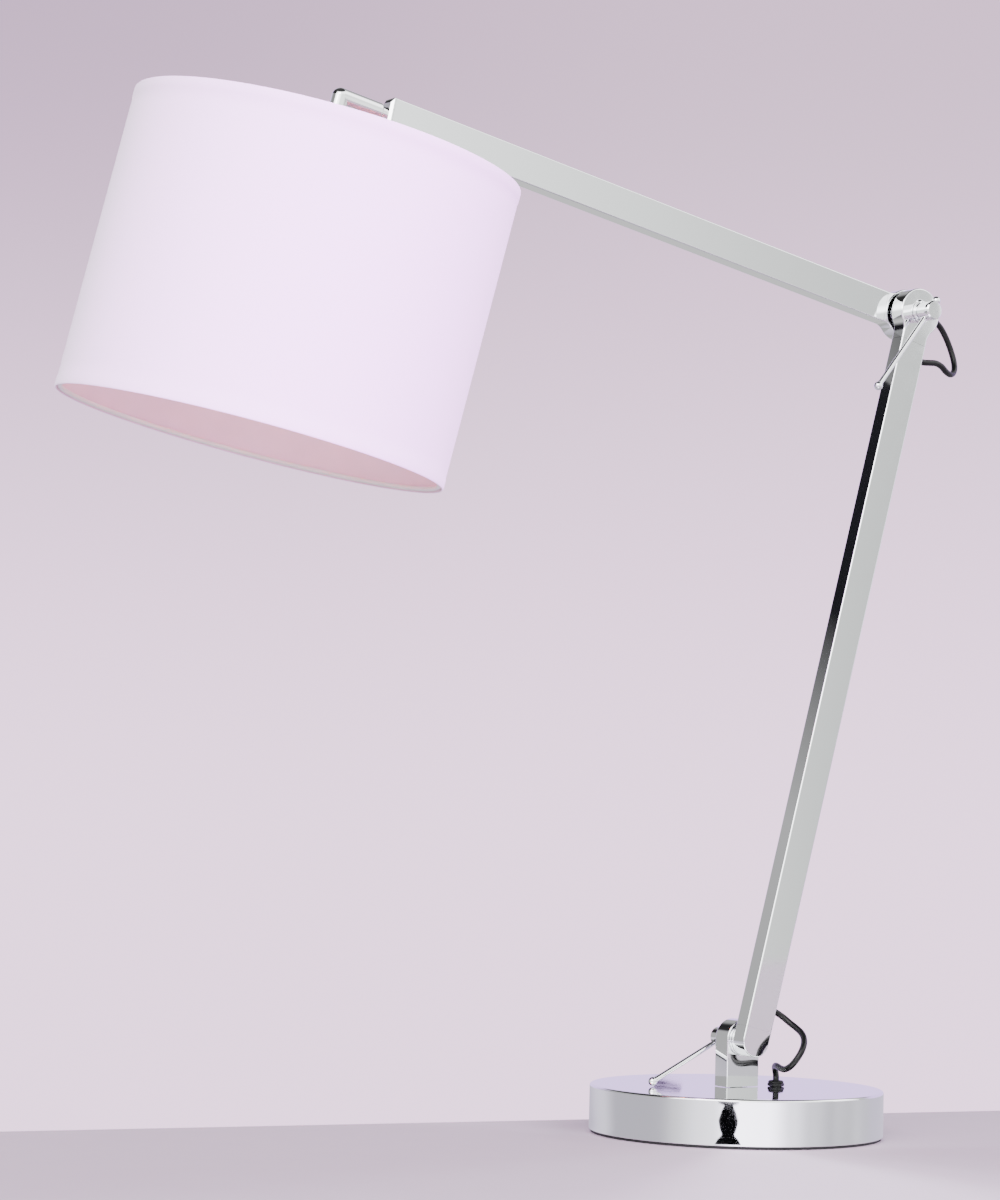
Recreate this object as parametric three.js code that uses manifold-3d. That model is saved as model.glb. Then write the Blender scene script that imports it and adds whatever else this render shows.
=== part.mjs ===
// Swing arm desk lamp: a weighted round base, two flat tube arms on clamped pivots, a swivelling
// lampholder pipe and a drum shade, with its flex led through both arms.
// Frame: origin at the middle of the pad's underside, +Z up, the arms swing in planes parallel to XZ.
import * as THREE from "three";
import { mergeVertices } from "three/addons/utils/BufferGeometryUtils.js";
import Module from "manifold-3d";

// Driving dimensions, in millimetres and degrees.
const gap = 0.3; // between pieces that touch
const boreGap = 0.3; // radial, round every shank and pipe

const baseRadius = 100;
const shellHeight = 30.7;
const shellWall = 1.5;
const shellTop = 2;
const shellEdge = 1.6; // rounding of the rim
const padThickness = 1.5;
const padInset = 1.3;
const coverThickness = 2;
const ballastInset = 6.5; // shell's inner wall to the ballast
const ballastThickness = 14;
const bossRadius = 6;
const coverScrewCircle = 70;
const coverScrewCount = 3;
const coverScrewRadius = 2;
const coverScrewHead = 3.9;
const coverScrewLength = 12;

const postWidth = 27;
const postDepth = 14;
const pivotAboveBase = 32.25;
const postScrewRadius = 3.8;
const postScrewHead = 7.5;
const postScrewHeadHeight = 5.3;
const postScrewReach = 17;
const postWasherRadius = 8;
const washerThickness = 1.6;

const armWidth = 22;
const armThickness = 12;
const tubeWall = 1.2;
const tubeCorner = 1;
const armLength = 528; // base pivot to elbow pivot
const upperTubeEnd = 440; // elbow pivot to the far end of the upper tube
const footLength = 8;
const tenonLength = 10;
const hubRadius = 17.2; // lower arm's upper end
const earRadius = 18; // upper arm's near end
const hubFillet = 10;
const hubNeck = 22; // elbow pivot to the lower tube's top end
const earNeck = 20; // elbow pivot to the upper tube's near end
const plugChamfer = 2.5;
const plugNeckRadius = 4.2;
const plugNeckLength = 14;

const leanAngle = 14.64; // lower arm from the vertical
const elbowAngle = 86.64; // between the two arms
const rollAngle = 6.7; // shade about the upper arm

const clampShank = 3.7;
const clampHead = 6.75;
const clampHeadLength = 12.8;
const clampWasherRadius = 7.9;
const clampWasherThickness = 2;
const spacerRadius = 10.5;
const spacerThickness = 2;
const blindSkin = 2; // metal left in front of a blind threaded bore
const barRadius = 1.75;
const barSpan = 83; // between the two ball centres
const ballRadius = 3.1;
const baseBarLong = 65.6; // head's axis to the far ball
const baseBarAngle = 26; // below the horizontal
const elbowBarAngle = 51.7;

const flexRadius = 2.2;
const flexHole = 3.1; // radius of the holes in the tube wall
const lowerHoleStation = 23.5; // base pivot to the flex hole
const upperHoleDrop = 31.5; // elbow pivot down to the flex hole
const flexBend = 12;
const earChannel = 7.2; // flex channel above the upper arm's centre line
const grommetFlange = 4.6;
const grommetLip = 1;

const glandX = 27;
const glandY = -9;
const glandHex = 5.8;
const glandThread = 3.7;
const glandHeight = 3.6;
const locknutHex = 7;
const locknutThickness = 2.4;
const bushRadius = 6;
const bushBore = 3.7;
const bushHeight = 10;
const terminalLength = 24;
const terminalWidth = 16;
const terminalHeight = 9;

const shadeRadius = 127;
const shadeHeight = 197;
const shadeWall = 1.2;
const shadeDrop = 30.4; // arm's axis to the shade's top rim
const shadeStation = 477; // elbow pivot to the shade's axis
const pipeRadius = 5.85;
const pipeIntoHolder = 7;
const holderAboveCarrier = 8;
const ringWire = 1.5;
const carrierDrop = 22; // hub plate below the shade's top rim
const carrierHub = 25;
const carrierPlate = 2;
const carrierArms = 3;
const carrierWire = 1.6;
const holderRadius = 19.6;
const holderLength = 34;
const holderCapHeight = 14;
const collarRadius = 9;
const collarHeight = 5;
const retainerRadius = 26;
const retainerHeight = 4;
const socketRadius = 14;
const bulbCapRadius = 13.2;
const bulbCapLength = 26;
const bulbRadius = 30;
const bulbLength = 82; // glass alone
const bulbNeck = 14.5;
const bulbWall = 1;

// Worked out from them.
const shellBottom = padThickness + gap;
const baseTop = shellBottom + shellHeight;
const pivotHeight = baseTop + pivotAboveBase;
const boreRadius = clampShank + boreGap;
const flexBore = flexRadius + boreGap;
const lowerArmY = -(postDepth / 2 + spacerThickness + 2 * gap + armThickness / 2);
const upperArmY = lowerArmY + armThickness + spacerThickness + 2 * gap;
const armHalf = armThickness / 2;
const rad = THREE.MathUtils.degToRad;

const chrome = { color: 0xd8d6dc, roughness: 0.06, metalness: 1 };
const steel = { color: 0xa9a9ad, roughness: 0.35, metalness: 1 };
const iron = { color: 0x4a4a4c, roughness: 0.7, metalness: 0.6 };
const black = { color: 0x151517, roughness: 0.5, metalness: 0 };
const linen = { color: 0xf3ebf6, roughness: 0.95, metalness: 0 };
const brass = { color: 0xb08d4a, roughness: 0.35, metalness: 1 };
const glass = { color: 0xf6efe6, roughness: 0.2, metalness: 0 };
const white = { color: 0xe9e7e3, roughness: 0.4, metalness: 0 };

// Helpers.
const wasm = await Module();
wasm.setup();

// A closed geometry as a manifold-3d solid, turned face out if it was made face in.
function solid(geometry) {
  let g = geometry.clone();
  g.deleteAttribute("normal");
  g.deleteAttribute("uv");
  g = mergeVertices(g, 1e-4);
  const p = g.attributes.position.array;
  const t = Uint32Array.from(g.index.array);
  let volume = 0;
  for (let i = 0; i < t.length; i += 3) {
    const [a, b, c] = [3 * t[i], 3 * t[i + 1], 3 * t[i + 2]];
    volume +=
      p[a] * (p[b + 1] * p[c + 2] - p[b + 2] * p[c + 1]) -
      p[a + 1] * (p[b] * p[c + 2] - p[b + 2] * p[c]) +
      p[a + 2] * (p[b] * p[c + 1] - p[b + 1] * p[c]);
  }
  if (volume < 0) {
    for (let i = 0; i < t.length; i += 3) {
      [t[i + 1], t[i + 2]] = [t[i + 2], t[i + 1]];
    }
  }
  return new wasm.Manifold(
    new wasm.Mesh({ numProp: 3, vertProperties: Float32Array.from(p), triVerts: t }),
  );
}

function geometryOf(manifold) {
  const made = manifold.getMesh();
  const points = new Float32Array(made.numVert * 3);
  for (let i = 0; i < made.numVert; i++) {
    points.set(made.vertProperties.subarray(i * made.numProp, i * made.numProp + 3), 3 * i);
  }
  const g = new THREE.BufferGeometry();
  g.setAttribute("position", new THREE.BufferAttribute(points, 3));
  g.setIndex(new THREE.BufferAttribute(Uint32Array.from(made.triVerts), 1));
  return g;
}

function build({ join = [], cut = [] }) {
  let made = solid(join[0]);
  for (const g of join.slice(1)) made = made.add(solid(g));
  for (const g of cut) made = made.subtract(solid(g));
  return geometryOf(made);
}

function mesh(parent, name, geometry, look) {
  const made = new THREE.Mesh(geometry, new THREE.MeshStandardMaterial(look));
  made.name = name;
  parent.add(made);
  return made;
}

// A turned piece: profile points are [radius, height], turned about Z. A profile given clockwise is
// run the other way round, so that the faces point out.
function turned(profile, segments = 24) {
  let area = 0;
  profile.forEach(([r, z], i) => {
    const [nextR, nextZ] = profile[(i + 1) % profile.length];
    area += r * nextZ - nextR * z;
  });
  const ordered = area > 0 ? profile : [...profile].reverse();
  const points = [...ordered, ordered[0]].map(([r, z]) => new THREE.Vector2(r, z));
  return new THREE.LatheGeometry(points, segments).rotateX(Math.PI / 2);
}

function disc(radius, low, high, segments = 24) {
  return turned([[0, low], [radius, low], [radius, high], [0, high]], segments);
}

function ring(outer, inner, low, high, segments = 24) {
  return turned([[inner, low], [outer, low], [outer, high], [inner, high]], segments);
}

// The same pieces turned about Y, from low to high along +Y.
const alongY = (geometry) => geometry.rotateX(-Math.PI / 2);
// The same pieces turned about X, from low to high along +X.
const alongX = (geometry) => geometry.rotateY(Math.PI / 2);

function box(x, y, z, centre) {
  return new THREE.BoxGeometry(x, y, z).translate(...centre);
}

function roundedRect(width, height, radius) {
  const shape = new THREE.Shape();
  const [w, h, r] = [width / 2, height / 2, radius];
  shape.moveTo(w, -h + r);
  shape.lineTo(w, h - r);
  shape.absarc(w - r, h - r, r, 0, Math.PI / 2);
  shape.lineTo(-w + r, h);
  shape.absarc(-w + r, h - r, r, Math.PI / 2, Math.PI);
  shape.lineTo(-w, -h + r);
  shape.absarc(-w + r, -h + r, r, Math.PI, 1.5 * Math.PI);
  shape.lineTo(w - r, -h);
  shape.absarc(w - r, -h + r, r, 1.5 * Math.PI, 2 * Math.PI);
  return shape;
}

// A plate whose outline lies in XZ, with its thickness centred on y = 0.
function plate(outline, thickness, curveSegments = 16) {
  const g = new THREE.ExtrudeGeometry(outline, { depth: thickness, bevelEnabled: false, curveSegments });
  return g.translate(0, 0, -thickness / 2).rotateX(Math.PI / 2);
}

// A hub disc with a neck of the arm's width; concave fillets run from the disc into the neck's sides.
function hubOutline(radius, width, neck, fillet) {
  const half = width / 2;
  const rise = Math.sqrt((radius + fillet) ** 2 - (half + fillet) ** 2);
  const meet = Math.atan2(rise, half + fillet);
  const shape = new THREE.Shape();
  shape.moveTo(half, neck);
  shape.lineTo(half, rise);
  shape.absarc(half + fillet, rise, fillet, Math.PI, Math.PI + meet, false);
  shape.absarc(0, 0, radius, meet, Math.PI - meet, true);
  shape.absarc(-half - fillet, rise, fillet, -meet, 0, false);
  shape.lineTo(-half, neck);
  shape.closePath();
  return shape;
}

function footOutline(half, length) {
  const shape = new THREE.Shape();
  shape.moveTo(half, length);
  shape.lineTo(half, 0);
  shape.absarc(0, 0, half, 0, Math.PI, length > 0);
  shape.lineTo(-half, length);
  shape.closePath();
  return shape;
}

function tenon(low, high) {
  const fit = 2 * (tubeWall + gap);
  const length = high - low;
  return box(armWidth - fit, armThickness - fit, length, [0, 0, low + length / 2]);
}

function tube(low, high, holes) {
  const outline = roundedRect(armWidth, armThickness, tubeCorner);
  const bore = box(armWidth - 2 * tubeWall, armThickness - 2 * tubeWall, high - low + 2, [0, 0, (low + high) / 2]);
  const body = new THREE.ExtrudeGeometry(outline, { depth: high - low, bevelEnabled: false, curveSegments: 3 });
  const drills = holes.map((z) => alongX(disc(flexHole, armWidth / 2 - tubeWall - 1, armWidth / 2 + 1, 24)).translate(0, 0, z));
  return build({ join: [body.translate(0, 0, low)], cut: [bore, ...drills] });
}

// Round flex of eight sides along a smooth curve through hand-laid points.
function flex(points, steps) {
  const section = new THREE.Shape();
  const sides = 8;
  for (let i = 0; i < sides; i++) {
    const a = (2 * Math.PI * i) / sides;
    section[i ? "lineTo" : "moveTo"](flexRadius * Math.cos(a), flexRadius * Math.sin(a));
  }
  section.closePath();
  const path = new THREE.CatmullRomCurve3(points.map((p) => new THREE.Vector3(...p)), false, "centripetal");
  const g = new THREE.ExtrudeGeometry(section, { steps, extrudePath: path, bevelEnabled: false, curveSegments: 1 });
  return geometryOf(solid(g));
}

// The lamp.
const lamp = new THREE.Group();

const lowerArm = new THREE.Group();
lowerArm.position.set(0, lowerArmY, pivotHeight);
lowerArm.rotation.y = rad(leanAngle);
lamp.add(lowerArm);

const upperArm = new THREE.Group();
upperArm.position.set(0, upperArmY - lowerArmY, armLength);
upperArm.rotation.y = -rad(180 - elbowAngle);
lowerArm.add(upperArm);

const head = new THREE.Group(); // on the arm's axis, where the shade's axis meets it
head.position.set(0, 0, shadeStation);
head.rotation.z = -rad(rollAngle);
upperArm.add(head);

const shade = new THREE.Group(); // its +Z runs up the shade's axis
shade.rotation.y = Math.PI / 2;
head.add(shade);

function baseAssembly() {
  const e = shellEdge;
  const inner = baseRadius - shellWall;
  const shellProfile = [
    [0, baseTop],
    [baseRadius - e, baseTop],
    [baseRadius - 0.3 * e, baseTop - 0.3 * e],
    [baseRadius, baseTop - e],
    [baseRadius, shellBottom],
    [inner, shellBottom],
    [inner, baseTop - shellTop],
    [0, baseTop - shellTop],
  ];
  const bushZ = bushHeight;
  const bushHole = bushRadius - 1 + gap;
  mesh(
    lamp,
    "base_shell",
    build({
      join: [turned(shellProfile, 72)],
      cut: [
        disc(postScrewRadius + 0.5, baseTop - 5, baseTop + 5, 24),
        disc(glandThread + boreGap, baseTop - 5, baseTop + 5, 24).translate(glandX, glandY, 0),
        alongX(disc(bushHole, baseRadius - 6, baseRadius + 4, 24)).translate(0, 0, bushZ),
      ],
    }),
    chrome,
  );
  mesh(lamp, "base_pad", disc(baseRadius - padInset, 0, padThickness, 64), black);

  const coverTop = shellBottom + coverThickness;
  const places = [...Array(coverScrewCount).keys()].map((i) => {
    const a = (2 * Math.PI * i) / coverScrewCount + Math.PI / 2;
    return [coverScrewCircle * Math.cos(a), coverScrewCircle * Math.sin(a)];
  });
  const countersink = turned(
    [
      [0, shellBottom - 1],
      [coverScrewHead + 2 * gap, shellBottom - 1],
      [coverScrewHead + 2 * gap, shellBottom],
      [coverScrewRadius + boreGap, coverTop],
      [coverScrewRadius + boreGap, coverTop + 1],
      [0, coverTop + 1],
    ],
    24,
  );
  mesh(
    lamp,
    "base_cover",
    build({
      join: [disc(baseRadius - shellWall - gap, shellBottom, coverTop, 64)],
      cut: places.map(([x, y]) => countersink.clone().translate(x, y, 0)),
    }),
    steel,
  );

  const ballastTop = baseTop - shellTop - gap;
  const ballastLow = ballastTop - ballastThickness;
  const bossLow = coverTop + gap;
  const seatDepth = 4;
  const seat = ballastLow + seatDepth;
  mesh(
    lamp,
    "ballast_plate",
    build({
      join: [
        disc(baseRadius - shellWall - ballastInset, ballastLow, ballastTop, 64),
        ...places.map(([x, y]) => disc(bossRadius, bossLow, ballastLow + 1, 20).translate(x, y, 0)),
      ],
      cut: [
        ...places.map(([x, y]) =>
          disc(coverScrewRadius + boreGap, bossLow - 1, shellBottom + coverScrewLength + 2, 16).translate(x, y, 0),
        ),
        disc(postScrewRadius + 0.6, ballastLow - 1, ballastTop + 1, 24),
        disc(postWasherRadius + 1, ballastLow - 1, seat, 32),
        disc(locknutHex + 1.5, ballastLow - 1, ballastTop + 1, 32).translate(glandX, glandY, 0),
      ],
    }),
    iron,
  );
  const screwProfile = [
    [0, shellBottom + 0.1],
    [coverScrewHead, shellBottom + 0.1],
    [coverScrewRadius, coverTop - 0.1],
    [coverScrewRadius, shellBottom + coverScrewLength],
    [0, shellBottom + coverScrewLength],
  ];
  places.forEach(([x, y], i) => {
    mesh(lamp, `cover_screw_${i + 1}`, turned(screwProfile, 16).translate(x, y, 0), steel);
  });

  const washerTop = seat - gap;
  const washerLow = washerTop - washerThickness;
  const headTop = washerLow - gap;
  mesh(lamp, "post_washer", ring(postWasherRadius, postScrewRadius + boreGap, washerLow, washerTop, 24), steel);
  mesh(
    lamp,
    "post_screw",
    build({
      join: [
        disc(postScrewHead, headTop - postScrewHeadHeight, headTop, 6),
        disc(postScrewRadius, headTop - 1, baseTop + gap + postScrewReach, 24),
      ],
    }),
    steel,
  );

  const foot = baseTop + gap - pivotHeight;
  mesh(
    lamp,
    "post",
    build({
      join: [plate(footOutline(postWidth / 2, foot), postDepth, 20)],
      cut: [
        disc(postScrewRadius + boreGap, foot - 1, foot + postScrewReach + 1, 24),
        alongY(disc(boreRadius, -postDepth, postDepth, 24)),
      ],
    }).translate(0, 0, pivotHeight),
    chrome,
  );

  glandAssembly();
  const bushSeat = baseRadius - shellWall;
  mesh(
    lamp,
    "mains_bush",
    alongX(
      turned(
        [
          [bushBore, bushSeat - 6],
          [bushRadius - 1, bushSeat - 6],
          [bushRadius - 1, baseRadius + gap],
          [bushRadius, baseRadius + gap],
          [bushRadius - 0.6, baseRadius + gap + 1.2],
          [bushBore, baseRadius + gap + 1.2],
        ],
        24,
      ),
    ).translate(0, 0, bushZ),
    black,
  );

  const terminalX = glandX + 17;
  const terminalLow = coverTop + gap;
  const wire = (y) => alongX(disc(1.6, terminalX - 1, terminalX + terminalLength + 1, 12)).translate(0, glandY + y, terminalLow + 4.5);
  mesh(
    lamp,
    "terminal_block",
    build({
      join: [
        box(terminalLength, terminalWidth, terminalHeight, [
          terminalX + terminalLength / 2,
          glandY,
          terminalLow + terminalHeight / 2,
        ]),
      ],
      cut: [wire(-4), wire(4)],
    }),
    white,
  );
}

// The gland in the base's top: threaded body, cap and the locknut beneath.
function glandAssembly() {
  const low = baseTop + gap;
  const bodyTop = low + glandHeight * 0.6;
  const top = low + glandHeight;
  const under = baseTop - shellTop - gap;
  const thread = 3.2;
  mesh(
    lamp,
    "gland_body",
    build({
      join: [
        disc(glandHex, low, bodyTop, 6),
        disc(glandThread, under - locknutThickness - 2, low + 0.5, 24),
        disc(thread, bodyTop - 0.5, top - 0.7, 24),
      ],
      cut: [disc(flexBore, under - 10, top + 1, 16)],
    }).translate(glandX, glandY, 0),
    black,
  );
  mesh(
    lamp,
    "gland_cap",
    build({
      join: [
        turned(
          [
            [0, bodyTop + gap],
            [glandHex - 0.3, bodyTop + gap],
            [glandHex - 0.6, top - 0.4],
            [glandHex - 2, top + 0.3],
            [0, top + 0.3],
          ],
          24,
        ),
      ],
      cut: [disc(thread + boreGap, low, top - 0.4, 24), disc(flexBore, low, top + 2, 16)],
    }).translate(glandX, glandY, 0),
    black,
  );
  mesh(
    lamp,
    "gland_locknut",
    build({
      join: [disc(locknutHex, under - locknutThickness, under, 6)],
      cut: [disc(glandThread + boreGap, under - 10, under + 1, 24)],
    }).translate(glandX, glandY, 0),
    black,
  );
}

// A clamp: a drilled round head on a shank, and a tommy bar with a ball at each end. It is made about
// the pivot, with its head towards +Y, and the side sign turns it round.
function clamp(parent, name, place, side, seatY, endY, barLong, barAngle) {
  const headLow = Math.abs(seatY) + gap;
  const headTop = headLow + clampHeadLength;
  const barY = headLow + clampHeadLength / 2;
  const group = new THREE.Group();
  group.position.set(...place);
  parent.add(group);
  const turn = side > 0 ? (g) => g : (g) => g.rotateX(Math.PI);
  const direction = new THREE.Vector3(-Math.cos(rad(barAngle)), 0, -Math.sin(rad(barAngle)));
  const middle = side * barY;
  const along = (g) => g.rotateY(Math.atan2(direction.x, direction.z)).translate(0, middle, 0);
  const c = 0.9;
  const profile = [
    [0, endY * side],
    [clampShank, endY * side],
    [clampShank, headLow],
    [clampHead - c, headLow],
    [clampHead, headLow + c],
    [clampHead, headTop - c],
    [clampHead - c, headTop],
    [0, headTop],
  ];
  mesh(
    group,
    `${name}_clamp_screw`,
    build({
      join: [turn(alongY(turned(profile, 24)))],
      cut: [along(disc(barRadius + gap, -clampHead - 2, clampHead + 2, 20))],
    }),
    chrome,
  );
  const short = barSpan - barLong;
  mesh(group, `${name}_bar_rod`, along(disc(barRadius, gap - short, barLong - gap, 16)), chrome);
  // Each ball is screwed on the rod's end, which reaches its middle.
  const ball = (low, high) =>
    build({ join: [new THREE.SphereGeometry(ballRadius, 16, 10)], cut: [disc(barRadius + gap, low, high, 16)] });
  mesh(group, `${name}_bar_ball_far`, along(ball(-ballRadius - 1, 0).translate(0, 0, barLong)), chrome);
  mesh(group, `${name}_bar_ball_near`, along(ball(0, ballRadius + 1).translate(0, 0, -short)), chrome);
}

function spacerRing(parent, name, radius, low, thickness) {
  mesh(parent, name, alongY(ring(radius, boreRadius, low, low + thickness, 24)), chrome);
}

function basePivot() {
  const rear = postDepth / 2 + gap;
  const joint = new THREE.Group();
  joint.position.set(0, 0, pivotHeight);
  lamp.add(joint);
  spacerRing(joint, "base_clamp_washer", clampWasherRadius, rear, clampWasherThickness);
  spacerRing(joint, "base_spacer", spacerRadius, -rear - spacerThickness, spacerThickness);
  const end = lowerArmY - armHalf + blindSkin + gap;
  clamp(lamp, "base", [0, 0, pivotHeight], 1, rear + clampWasherThickness, end, baseBarLong, baseBarAngle);
}

function lowerArmAssembly() {
  const tubeLow = footLength + gap;
  const tubeHigh = armLength - hubNeck - gap;
  const holes = [lowerHoleStation, armLength - upperHoleDrop];
  mesh(
    lowerArm,
    "lower_arm_foot",
    build({
      join: [plate(footOutline(armWidth / 2, footLength), armThickness, 20), tenon(footLength - 1, footLength + tenonLength)],
      cut: [alongY(disc(boreRadius, -armHalf + blindSkin, armHalf + 1, 24))],
    }),
    chrome,
  );
  mesh(lowerArm, "lower_arm_tube", tube(tubeLow, tubeHigh, holes), chrome);
  const topTenon = upperHoleDrop - hubNeck - flexHole - 0.4;
  mesh(
    lowerArm,
    "lower_arm_hub",
    build({
      join: [
        plate(hubOutline(hubRadius, armWidth, hubNeck, hubFillet), armThickness, 16).rotateY(Math.PI),
        tenon(-hubNeck - topTenon, -hubNeck + 1),
      ],
      cut: [alongY(disc(boreRadius, -armThickness, armThickness, 24))],
    }).translate(0, 0, armLength),
    chrome,
  );
  holes.forEach((z, i) => {
    const face = armWidth / 2 + gap;
    const grommet = turned(
      [
        [flexBore, face - tubeWall],
        [flexHole - gap, face - tubeWall],
        [flexHole - gap, face],
        [grommetFlange, face],
        [grommetFlange - 0.4, face + grommetLip],
        [flexBore, face + grommetLip],
      ],
      24,
    );
    mesh(lowerArm, `flex_grommet_${i ? "upper" : "lower"}`, alongX(grommet).translate(0, 0, z), black);
  });
  const x = -1;
  const low = holes[0];
  const high = holes[1];
  const turn = [11, 30, 60, 90].map((t) => [
    x + flexBend * (1 - Math.sin(rad(t))),
    flexBend * (1 - Math.cos(rad(t))),
  ]);
  mesh(
    lowerArm,
    "flex_lower_arm",
    flex(
      [
        ...turn.map(([tx, tz]) => [tx, 0, low + tz]),
        [x, 0, low + 3 * flexBend],
        [x, 0, high - 3 * flexBend],
        ...turn.map(([tx, tz]) => [tx, 0, high - tz]).reverse(),
      ],
      36,
    ),
    black,
  );

  const elbow = new THREE.Group();
  elbow.position.set(0, -lowerArmY, armLength);
  lowerArm.add(elbow);
  const front = lowerArmY - armHalf - gap;
  const rear = lowerArmY + armHalf + gap;
  spacerRing(elbow, "elbow_clamp_washer", clampWasherRadius, front - clampWasherThickness, clampWasherThickness);
  spacerRing(elbow, "elbow_spacer", spacerRadius, rear, spacerThickness);
}

function elbowClamp() {
  const front = lowerArmY - armHalf - gap;
  const end = upperArmY + armHalf - blindSkin - gap;
  const barLong = barSpan - clampHead - ballRadius - gap;
  const lean = rad(leanAngle);
  const place = [armLength * Math.sin(lean), 0, pivotHeight + armLength * Math.cos(lean)];
  clamp(lamp, "elbow", place, -1, front - clampWasherThickness, end, barLong, elbowBarAngle);
}

function upperArmAssembly() {
  const boreLow = -earRadius - 1;
  mesh(
    upperArm,
    "upper_arm_ear",
    build({
      join: [
        plate(hubOutline(earRadius, armWidth, earNeck, hubFillet), armThickness, 16),
        tenon(earNeck - 1, earNeck + tenonLength),
      ],
      cut: [
        alongY(disc(boreRadius, -armHalf - 1, armHalf - blindSkin, 24)),
        disc(flexBore, boreLow, earNeck + tenonLength + 1, 16).translate(earChannel, 0, 0),
      ],
    }),
    chrome,
  );
  mesh(upperArm, "upper_arm_tube", tube(earNeck + gap, upperTubeEnd, []), chrome);

  const capLow = upperTubeEnd + gap;
  const capHigh = capLow + plugChamfer;
  const cap = new THREE.CylinderGeometry(
    plugNeckRadius * 1.48,
    (armThickness / 2) * Math.SQRT2,
    plugChamfer,
    4,
  )
    .rotateX(Math.PI / 2)
    .rotateZ(Math.PI / 4)
    .translate(0, 0, (capLow + capHigh) / 2);
  const widen = armWidth / armThickness;
  cap.scale(widen, 1, 1);
  mesh(
    upperArm,
    "upper_arm_plug",
    build({
      join: [cap, tenon(capLow - 12, capLow + 0.5), disc(plugNeckRadius, capHigh - 1, capHigh + plugNeckLength, 24)],
      cut: [disc(flexBore, capLow - 20, capHigh + plugNeckLength + 1, 16)],
    }),
    chrome,
  );
  const rimEntry = -Math.sqrt(earRadius ** 2 - earChannel ** 2);
  const plugEnd = capHigh + plugNeckLength;
  mesh(
    upperArm,
    "flex_upper_arm",
    flex(
      [
        [earChannel, 0, rimEntry + 4],
        [earChannel, 0, 0],
        [earChannel, 0, earNeck + tenonLength],
        [earChannel - 1.4, 0, earNeck + tenonLength + 18],
        [1.4, 0, earNeck + tenonLength + 50],
        [0, 0, earNeck + tenonLength + 70],
        [0, 0, capLow - 60],
        [0, 0, capLow - 12],
        [0, 0, plugEnd - gap],
      ],
      28,
    ),
    black,
  );
}

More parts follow.
